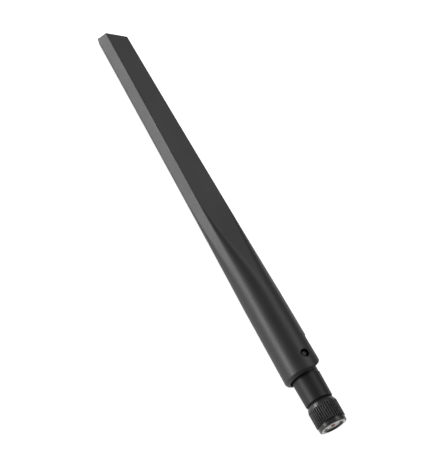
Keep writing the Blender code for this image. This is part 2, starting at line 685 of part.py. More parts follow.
def housing(anchor):
    """The lofted shell: round base, bevelled blade, slanted tip, and the open hinge room below."""
    middle = TIP - TIP_SLOPE * TIP_BEVEL_DISTANCE / math.cos(BEVEL_ANGLE)
    quarter = math.pi / 2
    outside = []
    for step in range(ARC_STEPS + 1):
        turn = quarter * (1 - step / ARC_STEPS)
        height = RIM + RIM_FILLET * (1 - math.sin(turn))
        radius = outer_size(height)[0] - RIM_FILLET * (1 - math.cos(turn))
        outside.append(level_ring((radius, radius, radius), height))
    outside.append(level_ring(outer_size(ROUND_TOP), ROUND_TOP))
    for step in range(1, MORPH_RINGS + 1):
        height = ROUND_TOP + MORPH_LENGTH * step / MORPH_RINGS
        outside.append(level_ring(outer_size(height), height))
    tip_size = outer_size(middle)
    for step in range(ARC_STEPS // 2 + 1):
        turn = quarter * step / (ARC_STEPS // 2)
        height = middle - TIP_EDGE * (1 - math.sin(turn))
        outside.append(slanted_ring(inset(tip_size, TIP_EDGE * (1 - math.cos(turn))), height))

    hinge_room = (KNUCKLE_RADIUS + HINGE_GAP, KNUCKLE_HALF_WIDTH + HINGE_GAP)
    hinge_size = (*hinge_room, hinge_room[1] - CAVITY_FLAT)
    hinge_top = RIM + SLOT_HEIGHT + HINGE_GAP
    room_start = hinge_top + WALL
    inside = [
        level_ring(hinge_size, RIM),
        level_ring(hinge_size, hinge_top),
        level_ring(inner_size(room_start), room_start),
        level_ring(inner_size(ROUND_TOP), ROUND_TOP),
    ]
    inner_rings = MORPH_RINGS // 2
    for step in range(1, inner_rings + 1):
        height = ROUND_TOP + MORPH_LENGTH * step / inner_rings
        inside.append(level_ring(inner_size(height), height))
    inside.append(slanted_ring(inner_size(middle), middle - TIP_WALL))

    mesh, loops = skin(inside[::-1] + outside)
    cap_end(mesh, loops[0], inward=True)
    cap_end(mesh, loops[-1], inward=False)
    finish = surface("satin_black_housing", (0.030, 0.030, 0.031), 0.5)
    piece = add_piece("housing", mesh, anchor, finish)

    arch_centre = RIM + SLOT_HEIGHT - SLOT_HALF_WIDTH
    arch = arc((0.0, arch_centre), SLOT_HALF_WIDTH, 0.0, math.pi, 3 * ARC_STEPS)
    foot = RIM - BASE_DIAMETER
    outline = [(SLOT_HALF_WIDTH, foot), *arch, (-SLOT_HALF_WIDTH, foot)]
    cut = plate(outline, SLOT_FROM_AXIS, BASE_DIAMETER)
    cut.transform(Matrix.Rotation(-quarter, 4, "Z"))
    boolean(piece, "DIFFERENCE", add_cutter("fold_slot_cutter", cut, anchor))
    hole = rod(
        TRUNNION_RADIUS + RUNNING_GAP,
        (0.0, -BASE_DIAMETER, PIVOT),
        (0.0, BASE_DIAMETER, PIVOT),
    )
    boolean(piece, "DIFFERENCE", add_cutter("pivot_hole_cutter", hole, anchor))


# Cable, board and copper inside the housing


def board_holder(anchor):
    """Plug above the hinge: it holds the board's lower end and guides the cable on to its face."""
    low = inner_size(HOLDER_BOTTOM)[0] - RUNNING_GAP
    high = inner_size(HOLDER_TOP)[0] - RUNNING_GAP
    profile = ((0.0, HOLDER_BOTTOM), (low, HOLDER_BOTTOM), (high, HOLDER_TOP), (0.0, HOLDER_TOP))
    finish = surface("natural_holder", (0.55, 0.54, 0.50), 0.5)
    piece = add_piece("board_holder", turned(profile), anchor, finish)
    slot_x = BOARD_WIDTH / 2 + RUNNING_GAP
    slot_y = BOARD_THICKNESS / 2 + RUNNING_GAP
    slot_low = HOLDER_TOP - HOLDER_SLOT_DEPTH
    slot = block((-slot_x, -slot_y, slot_low), (slot_x, slot_y, HOLDER_TOP + HOLDER_HEIGHT))
    boolean(piece, "DIFFERENCE", add_cutter("board_slot_cutter", slot, anchor))
    guide = rod(
        CABLE_RADIUS + CABLE_BORE_GAP + PRESS_GAP,
        (0.0, CABLE_OFFSET, HOLDER_BOTTOM - HOLDER_HEIGHT),
        (0.0, CABLE_OFFSET, HOLDER_TOP + HOLDER_HEIGHT),
    )
    boolean(piece, "DIFFERENCE", add_cutter("cable_guide_cutter", guide, anchor))


def antenna_board(anchor):
    half = BOARD_WIDTH / 2
    outline = (
        (-half, BOARD_BOTTOM),
        (half, BOARD_BOTTOM),
        (half, BOARD_TOP - COPPER_TAPER),
        (half - COPPER_TAPER / 2, BOARD_TOP),
        (-half + COPPER_TAPER / 2, BOARD_TOP),
        (-half, BOARD_TOP - COPPER_TAPER),
    )
    mesh = plate(outline, -BOARD_THICKNESS / 2, BOARD_THICKNESS / 2)
    add_piece("antenna_board", mesh, anchor, surface("green_board", (0.05, 0.16, 0.07), 0.4))


def radiators(anchor):
    """Two copper halves on the board's face, with the feed between them."""
    near = BOARD_THICKNESS / 2 + TRACE_GAP
    half = COPPER_WIDTH / 2
    pad = FEED_PAD_WIDTH / 2
    low = FEED + FEED_SPLIT / 2
    upper_end = BOARD_TOP - UPPER_COPPER_MARGIN
    upper = (
        (-pad, low),
        (pad, low),
        (half, low + COPPER_TAPER),
        (half, upper_end),
        (-half, upper_end),
        (-half, low + COPPER_TAPER),
    )
    copper = surface("upper_copper", (0.60, 0.27, 0.15), 0.35, 1.0)
    add_piece("upper_radiator", plate(upper, near, near + COPPER_THICKNESS), anchor, copper)
    high = FEED - FEED_SPLIT / 2
    gap = COPPER_SLOT_WIDTH / 2
    foot = high - LOWER_COPPER_LENGTH
    lower = (
        (-half, foot),
        (-gap, foot),
        (-gap, high - COPPER_BRIDGE),
        (gap, high - COPPER_BRIDGE),
        (gap, foot),
        (half, foot),
        (half, high),
        (-half, high),
    )
    copper = surface("lower_copper", (0.60, 0.27, 0.15), 0.35, 1.0)
    add_piece("lower_radiator", plate(lower, near, near + COPPER_THICKNESS), anchor, copper)


def cable_line(height):
    """Where the cable's centre lies: on the axis through the hinge, then beside the board."""
    share = smooth_share(height, PIVOT + KNUCKLE_RADIUS, HOLDER_BOTTOM)
    return Vector((0.0, CABLE_OFFSET * share, height))


def coax_cable(anchor):
    """The whole cable, from the contact's tail through the hinge to where its jacket ends."""
    line = bpy.data.curves.new("coax_cable", "CURVE")
    line.dimensions = "3D"
    line.bevel_depth = CABLE_RADIUS
    line.bevel_resolution = 2
    line.use_fill_caps = True
    spline = line.splines.new("POLY")
    spline.points.add(CABLE_RINGS)
    for index, point in enumerate(spline.points):
        height = blend(CABLE_START, JACKET_END, index / CABLE_RINGS)
        place = cable_line(height) - Vector((0.0, 0.0, anchor["height"]))
        point.co = (*place, 1.0)
    line.materials.append(surface("black_cable", (0.02, 0.02, 0.02), 0.45))
    piece = bpy.data.objects.new("coax_cable", line)
    bpy.context.scene.collection.objects.link(piece)
    piece.parent = anchor


def cable_end(anchor):
    """Shrink sleeve, bared braid and bared core, and the solder on both sides of the feed."""
    shrink = CABLE_RADIUS + PRESS_GAP
    sleeve_top = JACKET_END - SHRINK_FROM_END
    sleeve_bottom = sleeve_top - SHRINK_LENGTH
    profile = (
        (shrink, sleeve_bottom),
        (shrink + SHRINK_WALL, sleeve_bottom),
        (shrink + SHRINK_WALL, sleeve_top),
        (shrink, sleeve_top),
    )
    mesh = turned(profile, SMALL_TURNED_STEPS)
    bmesh.ops.translate(mesh, vec=(0.0, CABLE_OFFSET, 0.0), verts=mesh.verts)
    add_piece("shrink_sleeve", mesh, anchor, surface("red_shrink", (0.25, 0.02, 0.02), 0.5))

    braid_start = JACKET_END + RUNNING_GAP
    braid_stop = braid_start + BRAID_LENGTH
    mesh = rod(BRAID_DIAMETER / 2, (0.0, CABLE_OFFSET, braid_start), (0.0, CABLE_OFFSET, braid_stop))
    add_piece("braid_end", mesh, anchor, surface("tinned_braid", (0.60, 0.58, 0.55), 0.4, 1.0))

    core_height = COPPER_FACE + SOLDER_HEIGHT / 2
    core_stop = FEED + FEED_SPLIT / 2
    mesh = rod(
        CORE_DIAMETER / 2,
        (0.0, CABLE_OFFSET, braid_stop + RUNNING_GAP),
        (0.0, core_height + CORE_DIAMETER / 2, core_stop),
    )
    add_piece("cable_core", mesh, anchor, surface("cable_core", (0.75, 0.73, 0.68), 0.4))

    dome = arc((0.0, 0.0), 1.0, 0.0, math.pi / 2, SOLDER_STEPS)
    profile = [(0.0, 0.0), *((r * SOLDER_RADIUS, h * SOLDER_HEIGHT) for r, h in dome[:-1])]
    mesh = turned([*profile, (0.0, SOLDER_HEIGHT)], SMALL_TURNED_STEPS)
    place = Vector((0.0, COPPER_FACE + TRACE_GAP, core_stop + CORE_DIAMETER / 2 + SOLDER_RADIUS))
    mesh.transform(Matrix.Translation(place) @ Matrix.Rotation(-math.pi / 2, 4, "X"))
    add_piece("feed_solder", mesh, anchor, surface("feed_solder", (0.55, 0.55, 0.56), 0.3, 1.0))

    middle = (braid_start + braid_stop) / 2
    saddle_top = CABLE_OFFSET - BRAID_DIAMETER / 2 - TRACE_GAP
    mesh = block(
        (-SADDLE_WIDTH / 2, COPPER_FACE + TRACE_GAP, middle - SADDLE_LENGTH / 2),
        (SADDLE_WIDTH / 2, saddle_top, middle + SADDLE_LENGTH / 2),
    )
    add_piece("ground_solder", mesh, anchor, surface("ground_solder", (0.55, 0.55, 0.56), 0.3, 1.0))


# The whole antenna, laid down on its flat side


def rest_slope():
    """How far the axis dips towards the tip when the base and the blade touch the ground."""
    low = RIM + RIM_FILLET
    heights = [blend(low, MORPH_TOP, step / REST_SAMPLES) for step in range(REST_SAMPLES + 1)]
    rises = ((outer_size(h)[1] - BLADE_HALF_THICKNESS) / (TIP - h) for h in heights)
    return math.atan(max(rises))


def lay_down(rest_frame):
    """Turns the antenna on to its side, then centres its box over the origin, on the ground."""
    slope = rest_slope()
    across = Vector((0.0, 1.0, 0.0))
    down = Vector((math.sin(slope), 0.0, -math.cos(slope)))
    along = Vector((-math.cos(slope), 0.0, -math.sin(slope)))
    turn = Matrix((across, down, along)).transposed().to_4x4()
    rest_frame.matrix_world = turn
    bpy.context.view_layer.update()
    shown = [piece for piece in bpy.data.objects if piece.type == "MESH" and not piece.hide_render]
    corners = [piece.matrix_world @ vertex.co for piece in shown for vertex in piece.data.vertices]
    low = Vector([min(corner[axis] for corner in corners) for axis in range(3)])
    high = Vector([max(corner[axis] for corner in corners) for axis in range(3)])
    shift = Vector((-(low.x + high.x) / 2, -(low.y + high.y) / 2, -low.z))
    rest_frame.matrix_world = Matrix.Translation(shift) @ turn
    bpy.context.view_layer.update()


def main():
    clear_scene()
    rest_frame = frame_empty("rest_frame", 0.0)
    plug_frame = frame_empty("plug_frame", 0.0, rest_frame)
    nut_slide = frame_empty("nut_slide", SNAP_BOTTOM, rest_frame)
    nut_axis = frame_empty("nut_axis", 0.0, nut_slide)
    swivel_axis = frame_empty("swivel_axis", STEM_BOTTOM, rest_frame)
    tilt_axis = frame_empty("tilt_axis", PIVOT, swivel_axis)

    connector_body(plug_frame)
    insulator(plug_frame)
    centre_contact(plug_frame)
    sealing_gasket(plug_frame)
    crimp_ferrule(plug_frame)
    collar_ring(plug_frame)
    retaining_clip(plug_frame)
    snap_ring(nut_slide)
    nut_core(nut_axis)
    nut_sleeve(nut_axis)
    elbow(swivel_axis)
    coax_cable(swivel_axis)
    housing(tilt_axis)
    board_holder(tilt_axis)
    antenna_board(tilt_axis)
    radiators(tilt_axis)
    cable_end(tilt_axis)
    lay_down(rest_frame)


main()
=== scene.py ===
"""The looks of a wifi antenna that tilts and swivels on a screw-on coaxial plug."""

import json
import math

import bmesh
import bpy
from mathutils import Matrix, Vector


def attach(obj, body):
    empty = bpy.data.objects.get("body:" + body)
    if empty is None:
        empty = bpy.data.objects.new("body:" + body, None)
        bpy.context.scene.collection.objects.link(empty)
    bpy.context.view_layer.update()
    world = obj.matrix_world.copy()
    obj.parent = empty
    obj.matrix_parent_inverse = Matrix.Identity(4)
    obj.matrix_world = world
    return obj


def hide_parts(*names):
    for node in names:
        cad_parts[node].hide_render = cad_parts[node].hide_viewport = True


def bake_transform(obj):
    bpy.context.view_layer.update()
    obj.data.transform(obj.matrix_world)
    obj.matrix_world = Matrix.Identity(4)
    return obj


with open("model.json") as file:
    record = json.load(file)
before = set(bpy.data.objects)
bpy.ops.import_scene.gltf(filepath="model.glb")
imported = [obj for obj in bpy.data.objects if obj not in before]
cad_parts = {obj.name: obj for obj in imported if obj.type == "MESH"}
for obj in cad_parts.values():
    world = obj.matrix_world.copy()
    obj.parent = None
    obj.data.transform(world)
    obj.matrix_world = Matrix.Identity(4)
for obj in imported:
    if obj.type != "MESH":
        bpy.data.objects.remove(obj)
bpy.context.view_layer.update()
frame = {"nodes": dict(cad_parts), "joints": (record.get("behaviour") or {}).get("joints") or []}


# Housing
# One moulding of black plastic with a fine sparked texture. A round base, open below for the
# knuckle and slotted on the side that it folds to, grows into a bevelled blade with a slanted tip.

MM = 0.001
STEM_BOTTOM = 8.85 * MM
STEM_LENGTH = 8.35 * MM
HINGE_GAP = 0.30 * MM
ROUND_LENGTH = 27.50 * MM
MORPH_LENGTH = 40.00 * MM
HOUSING_LENGTH = 127.80 * MM
BASE_RADIUS = 6.50 * MM
ROUND_END_RADIUS = 6.13 * MM
TIP_BEVEL_DISTANCE = 4.25 * MM
TAPER_BOW = 0.30
BLADE_HALF_THICKNESS = 3.20 * MM
BLADE_EDGE_RADIUS = 0.35 * MM
BEVEL_ANGLE = math.radians(28.7)
TIP_SLOPE = 0.52
TIP_CROWN = 0.045 / MM
TIP_EDGE = 0.30 * MM
TIP_WALL = 1.50 * MM
WALL = 1.10 * MM
RIM_FILLET = 1.20 * MM
ARM_EDGE = 4.25 * MM
ARM_CURVE_START = -1.60 * MM
ARM_CURVE = 8.80 * MM
ARM_CORNER = 2.30 * MM
KNUCKLE_RADIUS = 4.90 * MM
KNUCKLE_HALF_WIDTH = 4.40 * MM
SLOT_HALF_WIDTH = 4.90 * MM
SLOT_HEIGHT = 11.80 * MM
SLOT_CORNER = 1.50 * MM
SLOT_MOUTH_FLARE = 1.50 * MM
SLOT_FROM_AXIS = 1.60 * MM
BOSS_RADIUS = 1.30 * MM
BOSS_ROOM = 0.10 * MM
CAVITY_FLAT = 0.50 * MM
MOULDED_EDGE = 0.14 * MM
LEAST_RADIUS = BLADE_EDGE_RADIUS / 10
SLOT_STEPS = 12
SWEEP_STEPS = 16
HOLE_SIDES = 64
EDGE_SEGMENTS = 3
EDGE_ANGLE = math.radians(40)
MOULDED_SMOOTHING = 32
WELD_DISTANCE = 0.0005 * MM
SEAM_DISTANCE = 0.0001 * MM
CLOUD_SIZE = 9.0 * MM
SCUFF_SIZE = 1.6 * MM

joints = {joint["name"]: joint for joint in frame["joints"]}
swivel, tilt = joints["elbow_swivel"], joints["antenna_tilt"]
tip_way = Vector(swivel["axis"]).normalized()
tilt_way = Vector(tilt["axis"]).normalized()
mouth = Vector(swivel["pos_m"]) - STEM_BOTTOM * tip_way
laid = Matrix((tilt_way.cross(tip_way), tilt_way, tip_way)).transposed().to_4x4()
laid.translation = mouth

PIVOT = (Vector(tilt["pos_m"]) - mouth).dot(tip_way)
SHOULDER = STEM_BOTTOM + STEM_LENGTH
RIM = SHOULDER + HINGE_GAP
ROUND_TOP = RIM + ROUND_LENGTH
MORPH_TOP = ROUND_TOP + MORPH_LENGTH
TIP = RIM + HOUSING_LENGTH


class Wire:
    """A socket in a node tree. Arithmetic on it adds Math nodes."""

    def __init__(self, graph, socket):
        self.graph = graph
        self.socket = socket

    def __add__(self, other):
        return self.graph.math("ADD", self, other)

    def __sub__(self, other):
        return self.graph.math("SUBTRACT", self, other)

    def __rsub__(self, other):
        return self.graph.math("SUBTRACT", other, self)

    def __mul__(self, other):
        return self.graph.math("MULTIPLY", self, other)

    def __truediv__(self, other):
        return self.graph.math("DIVIDE", self, other)

    def __mod__(self, other):
        return self.graph.math("FLOORED_MODULO", self, other)

    __radd__, __rmul__ = __add__, __mul__

    def over(self, other):
        """1 where the value is above the other one, else 0."""
        return self.graph.math("GREATER_THAN", self, other)

    def clipped(self):
        return self.graph.add("ShaderNodeClamp", {"Value": self})


class Graph:
    """A shader or geometry node tree that is written as expressions."""

    def __init__(self, tree):
        self.tree = tree

    def join(self, value, socket):
        if isinstance(value, Wire):
            self.tree.links.new(value.socket, socket)
        else:
            socket.default_value = value

    def add(self, kind, sockets=None, output=0, **settings):
        """One node: its settings first, then its sockets."""
        node = self.tree.nodes.new(kind)
        for name, value in settings.items():
            setattr(node, name, value)
        for name, value in (sockets or {}).items():
            self.join(value, node.inputs[name])
        return Wire(self, node.outputs[output])

    def math(self, operation, *values):
        return self.add("ShaderNodeMath", dict(enumerate(values)), operation=operation)

    def blend(self, low, high, share):
        """A colour between two, each a colour or a wire."""
        node = self.tree.nodes.new("ShaderNodeMix")
        node.data_type = "RGBA"
        factor, first, second = (node.inputs[place] for place in (0, 6, 7))
        for value, socket in ((share, factor), (low, first), (high, second)):
            self.join(value if isinstance(value, (Wire, float)) else (*value, 1.0), socket)
        return Wire(self, node.outputs[2])


def geometry_graph(name, sizes):
    """A geometry node tree with named inputs for its sizes, and the wires that read them."""
    tree = bpy.data.node_groups.new(name, "GeometryNodeTree")
    tree.interface.new_socket("Geometry", in_out="INPUT", socket_type="NodeSocketGeometry")
    for size, value in sizes.items():
        kind = "NodeSocketInt" if isinstance(value, int) else "NodeSocketFloat"
        tree.interface.new_socket(size, in_out="INPUT", socket_type=kind)
    tree.interface.new_socket("Geometry", in_out="OUTPUT", socket_type="NodeSocketGeometry")
    graph = Graph(tree)
    entry = tree.nodes.new("NodeGroupInput")
    return graph, {socket.name: Wire(graph, socket) for socket in entry.outputs if socket.name}


def finish_graph(graph, geometry, material):
    """Ends a tree in Realize Instances and Set Material."""
    real = graph.add("GeometryNodeRealizeInstances", {"Geometry": geometry})
    dressed = graph.add("GeometryNodeSetMaterial", {"Geometry": real, "Material": material})
    graph.join(dressed, graph.tree.nodes.new("NodeGroupOutput").inputs[0])


def mesh_object(name, mesh):
    piece = bpy.data.objects.new(name, mesh)
    bpy.context.scene.collection.objects.link(piece)
    return piece


def drawn_object(name, drawing):
    """An object with what was drawn in an edit mesh, which is freed."""
    mesh = bpy.data.meshes.new(name)
    drawing.to_mesh(mesh)
    drawing.free()
    return mesh_object(name, mesh)


def settle(piece):
    """Turns what the piece's modifiers make into its plain mesh."""
    bpy.context.view_layer.update()
    graph = bpy.context.evaluated_depsgraph_get()
    made = bpy.data.meshes.new_from_object(piece.evaluated_get(graph), depsgraph=graph)
    old = piece.data
    piece.modifiers.clear()
    piece.data = made
    bpy.data.meshes.remove(old)
    made.name = piece.name
    return piece


def run_graph(piece, graph, sizes):
    """Runs a geometry node tree on a piece, with its inputs set by their sockets' identifiers."""
    modifier = piece.modifiers.new(graph.tree.name, "NODES")
    modifier.node_group = graph.tree
    for item in graph.tree.interface.items_tree:
        if item.in_out == "INPUT" and item.name in sizes:
            modifier[item.identifier] = sizes[item.name]
    return settle(piece)


def between(low, high, share):
    return low + (high - low) * share


def eased(value, low, high):
    share = min(1.0, max(0.0, (value - low) / (high - low)))
    return share * share * (3 - 2 * share)


def outer_size(height):
    """Distance from the axis to the side bevels and to the flats, and the corners' radius."""
    if height < ROUND_TOP:
        radius = between(BASE_RADIUS, ROUND_END_RADIUS, (height - RIM) / ROUND_LENGTH)
        return radius, radius, radius
    way = (height - ROUND_TOP) / (TIP - ROUND_TOP)
    taper = way + TAPER_BOW * way * (1 - way)
    bevel = between(ROUND_END_RADIUS, TIP_BEVEL_DISTANCE, taper)
    share = eased(height, ROUND_TOP, MORPH_TOP)
    return bevel, between(bevel, BLADE_HALF_THICKNESS, share), between(bevel, BLADE_EDGE_RADIUS, share)


def shrunk(size, amount):
    bevel, flat, radius = size
    return bevel - amount, flat - amount, max(radius - amount, LEAST_RADIUS)


def spine(name, keys, rings):
    """A line of points up the axis. Each holds, by its keys, the sizes of the ring round it."""
    drawing = bmesh.new()
    layers = [drawing.verts.layers.float.new(key) for key in keys]
    points = []
    for *sizes, height in rings:
        point = drawing.verts.new((0.0, 0.0, height))
        for layer, value in zip(layers, sizes):
            point[layer] = value
        points.append(point)
    for pair in zip(points, points[1:]):
        drawing.edges.new(pair)
    return drawn_object(name, drawing)


def ring_sheet(graph, line, columns):
    """A grid with a ring for each point of a line, and each grid point's ring and column."""
    count = graph.add("GeometryNodeAttributeDomainSize", {"Geometry": line}, output="Point Count")
    sheet = graph.add("GeometryNodeMeshGrid", {"Vertices X": columns + 1, "Vertices Y": count})
    index = graph.add("GeometryNodeInputIndex")
    ring = index % count
    return sheet, ring, ((index - ring) / count) % columns


def at_ring(graph, line, ring, key):
    """What a line holds by a key at the ring's point."""
    value = graph.add("GeometryNodeInputNamedAttribute", {"Name": key}, data_type="FLOAT")
    sockets = {"Geometry": line, "Value": value, "Index": ring}
    return graph.add("GeometryNodeSampleIndex", sockets, data_type="FLOAT", domain="POINT")


def ring_height(graph, line, ring):
    place = graph.add("GeometryNodeInputPosition")
    sockets = {"Geometry": line, "Value": place, "Index": ring}
    spot = graph.add("GeometryNodeSampleIndex", sockets, data_type="FLOAT_VECTOR", domain="POINT")
    return graph.add("ShaderNodeSeparateXYZ", {"Vector": spot}, output="Z")


def wrap_sheet(graph, sheet, x, y, z, material):
    """Moves a grid's points to their places, closes its seam and ends the tree."""
    spot = graph.add("ShaderNodeCombineXYZ", {"X": x, "Y": y, "Z": z})
    moved = graph.add("GeometryNodeSetPosition", {"Geometry": sheet, "Position": spot})
    closed = graph.add("GeometryNodeMergeByDistance", {"Geometry": moved, "Distance": SEAM_DISTANCE})
    finish_graph(graph, closed, material)


# The section is a hexagon with two flats and four bevels, whose six corners are rounded. Where its
# sizes are equal it is a circle. Each corner turns the outline from one face's direction to the next.
CORNER_STEPS = 10
SECTION_KEYS = ("bevel", "flat", "radius", "slant")
quarter_turn = math.pi / 2
section_sizes = {
    "Bevel angle": BEVEL_ANGLE,
    "Tip slope": TIP_SLOPE,
    "Tip crown": TIP_CROWN,
    "Corner steps": CORNER_STEPS,
}


def section_graph(name, material):
    graph, size = geometry_graph(name, section_sizes)
    line = size["Geometry"]
    corner_points = size["Corner steps"] + 1
    sheet, ring, column = ring_sheet(graph, line, corner_points * 6)
    step = column % corner_points
    corner = (column - step) / corner_points
    side = corner.over(2.5)
    local = corner - side * 3
    edge = local.over(0.5)
    far = local.over(1.5)
    bevel_angle = size["Bevel angle"]
    start = (1 - edge) * (0 - bevel_angle) + (edge - far) * bevel_angle + far * quarter_turn
    sweep = (1 - edge) * (bevel_angle * 2) + edge * (quarter_turn - bevel_angle)
    turn = start + sweep * step / size["Corner steps"] + side * math.pi

    bevel, flat, radius, slant = (at_ring(graph, line, ring, key) for key in SECTION_KEYS)
    core_flat = flat - radius
    ridge = (bevel - radius) / graph.math("COSINE", bevel_angle)
    shoulder = ridge - core_flat * graph.math("TANGENT", bevel_angle)
    sign = 1 - side * 2
    across = ((1 - edge) * ridge + (edge - far * 2) * shoulder) * sign
    deep = edge * core_flat * sign
    x = across + radius * graph.math("COSINE", turn)
    y = deep + radius * graph.math("SINE", turn)
    drop = slant * (x * size["Tip slope"] + x * x * size["Tip crown"])
    wrap_sheet(graph, sheet, x, y, ring_height(graph, line, ring) - drop, material)
    return graph


def close_ends(mesh):
    """Fills the open rings at a form's ends, and turns its faces outwards."""
    shape = bmesh.new()
    shape.from_mesh(mesh)
    bmesh.ops.holes_fill(shape, edges=[edge for edge in shape.edges if edge.is_boundary], sides=0)
    bmesh.ops.recalc_face_normals(shape, faces=shape.faces)
    shape.to_mesh(mesh)
    shape.free()


def object_place(graph):
    return graph.add("ShaderNodeTexCoord", output="Object")


def noise(graph, place, size, detail=2.0):
    """Smooth noise whose features are about the given size."""
    return graph.add("ShaderNodeTexNoise", {"Vector": place, "Scale": 1 / size, "Detail": detail})


def material_graph(name):
    material = bpy.data.materials.new(name)
    material.use_nodes = True
    graph = Graph(material.node_tree)
    return material, graph, material.node_tree.nodes["Principled BSDF"]


def surface(graph, shader, colour, roughness, relief, strength, depth):
    """Gives a shader its varying colour and roughness, and a fine relief."""
    graph.join(colour, shader.inputs["Base Color"])
    graph.join(roughness, shader.inputs["Roughness"])
    bump = {"Strength": strength, "Distance": depth, "Height": relief}
    graph.join(graph.add("ShaderNodeBump", bump), shader.inputs["Normal"])


def moulded_plastic(name, dark, light, roughness, grain_size, grain_depth, specular=0.5):
    """Moulded plastic or rubber: sparked grain, slow gloss changes and faint pale scuffs."""
    material, graph, shader = material_graph(name)
    place = object_place(graph)
    grain = noise(graph, place, grain_size, 3.0)
    cloud = noise(graph, place, CLOUD_SIZE)
    scuff = noise(graph, place, SCUFF_SIZE, 6.0)
    rubbed = ((scuff - 0.60) * 6).clipped()
    colour = graph.blend(dark, light, cloud * 0.6 + rubbed * 0.4)
    gloss = roughness + (cloud - 0.5) * 0.10 + (grain - 0.5) * 0.12
    surface(graph, shader, colour, gloss, grain, 0.55, grain_depth)
    shader.inputs["Specular IOR Level"].default_value = specular
    return material


satin_black = moulded_plastic(
    "satin_black_moulding",
    dark=(0.011, 0.011, 0.0115),
    light=(0.019, 0.019, 0.0195),
    roughness=0.46,
    grain_size=0.22 * MM,
    grain_depth=0.010 * MM,
    specular=0.47,
)
section = section_graph("housing_section", satin_black)

# Each ring is its section's bevel, flat and radius, its share of the tip's slant, and its height.
RIM_RINGS = 7
BASE_RINGS = 6
MORPH_RINGS = 36
BLADE_RINGS = 8
TIP_RINGS = 6
CAP_RINGS = 5
tip_middle = TIP - TIP_SLOPE * TIP_BEVEL_DISTANCE / math.cos(BEVEL_ANGLE)
tip_size = outer_size(tip_middle)
outside = []
for number in range(RIM_RINGS + 1):
    turn = quarter_turn * (1 - number / RIM_RINGS)
    height = RIM + RIM_FILLET * (1 - math.sin(turn))
    radius = outer_size(height)[0] - RIM_FILLET * (1 - math.cos(turn))
    outside.append((radius, radius, radius, 0.0, height))
for number in range(1, BASE_RINGS + 1):
    height = between(RIM + RIM_FILLET, ROUND_TOP, number / BASE_RINGS)
    outside.append((*outer_size(height), 0.0, height))
for number in range(1, MORPH_RINGS + 1):
    height = between(ROUND_TOP, MORPH_TOP, number / MORPH_RINGS)
    outside.append((*outer_size(height), 0.0, height))
for number in range(1, BLADE_RINGS + 1):
    share = number / BLADE_RINGS
    height = between(MORPH_TOP, tip_middle - 2 * TIP_EDGE, share)
    outside.append((*outer_size(height), share, height))
for number in range(TIP_RINGS + 1):
    turn = quarter_turn * number / TIP_RINGS
    size = shrunk(tip_size, TIP_EDGE * (1 - math.cos(turn)))
    outside.append((*size, 1.0, tip_middle - TIP_EDGE * (1 - math.sin(turn))))
for number in range(1, CAP_RINGS + 1):
    amount = between(TIP_EDGE, BLADE_HALF_THICKNESS - LEAST_RADIUS, number / CAP_RINGS)
    outside.append((*shrunk(tip_size, amount), 1.0, tip_middle))

shell = run_graph(spine("housing_shell", SECTION_KEYS, outside), section, section_sizes)
close_ends(shell.data)


def inner_size(height):
    bevel, flat, radius = outer_size(height)
    return bevel - WALL, flat - WALL, max(radius - WALL, BLADE_EDGE_RADIUS)


hinge_size = (
    KNUCKLE_RADIUS + HINGE_GAP,
    KNUCKLE_HALF_WIDTH + HINGE_GAP,
    KNUCKLE_HALF_WIDTH + HINGE_GAP - CAVITY_FLAT,
)
hinge_top = RIM + SLOT_HEIGHT + HINGE_GAP
inside = [
    (*hinge_size, 0.0, RIM - RIM_FILLET),
    (*hinge_size, 0.0, hinge_top),
    (*inner_size(hinge_top + WALL), 0.0, hinge_top + WALL),
]
for number in range(MORPH_RINGS + 1):
    height = between(ROUND_TOP, MORPH_TOP, number / MORPH_RINGS)
    inside.append((*inner_size(height), 0.0, height))
inside.append((*inner_size(tip_middle), 1.0, tip_middle - TIP_WALL))
room = run_graph(spine("housing_room", SECTION_KEYS, inside), section, section_sizes)
close_ends(room.data)


def rod(name, radius, start, end):
    """A round bar between two points."""
    start, end = Vector(start), Vector(end)
    drawing = bmesh.new()
    round_bar = {"radius1": radius, "radius2": radius, "depth": (end - start).length}
    bmesh.ops.create_cone(drawing, cap_ends=True, segments=HOLE_SIDES, **round_bar)
    pointed = (end - start).to_track_quat("Z", "Y").to_matrix().to_4x4()
    drawing.transform(Matrix.Translation((start + end) / 2) @ pointed)
    return drawn_object(name, drawing)


def arc(centre, radius, start, end, steps):
    angles = [between(start, end, step / steps) for step in range(steps + 1)]
    return [(centre[0] + radius * math.cos(a), centre[1] + radius * math.sin(a)) for a in angles]


def prism(name, outline, push):
    """A flat outline of points, pushed along a vector."""
    drawing = bmesh.new()
    face = drawing.faces.new([drawing.verts.new(point) for point in outline])
    made = bmesh.ops.extrude_face_region(drawing, geom=[face])
    moved = [item for item in made["geom"] if isinstance(item, bmesh.types.BMVert)]
    bmesh.ops.translate(drawing, vec=push, verts=moved)
    bmesh.ops.recalc_face_normals(drawing, faces=drawing.faces)
    return drawn_object(name, drawing)


def slot_tool(name, near, far):
    """The slot in the base's fold side: round top corners, and a mouth that flares at the rim."""
    wide = SLOT_HALF_WIDTH + SLOT_MOUTH_FLARE
    flare_place = (wide, RIM + SLOT_MOUTH_FLARE)
    flare = arc(flare_place, SLOT_MOUTH_FLARE, -quarter_turn, -math.pi, SLOT_STEPS)
    corner_place = (SLOT_HALF_WIDTH - SLOT_CORNER, RIM + SLOT_HEIGHT - SLOT_CORNER)
    corner = arc(corner_place, SLOT_CORNER, 0.0, quarter_turn, SLOT_STEPS)
    half = [(wide, RIM - SLOT_HEIGHT), *flare, *corner]
    outline = half + [(-y, height) for y, height in reversed(half)]
    return prism(name, [(near, y, z) for y, z in outline], (far - near, 0.0, 0.0))


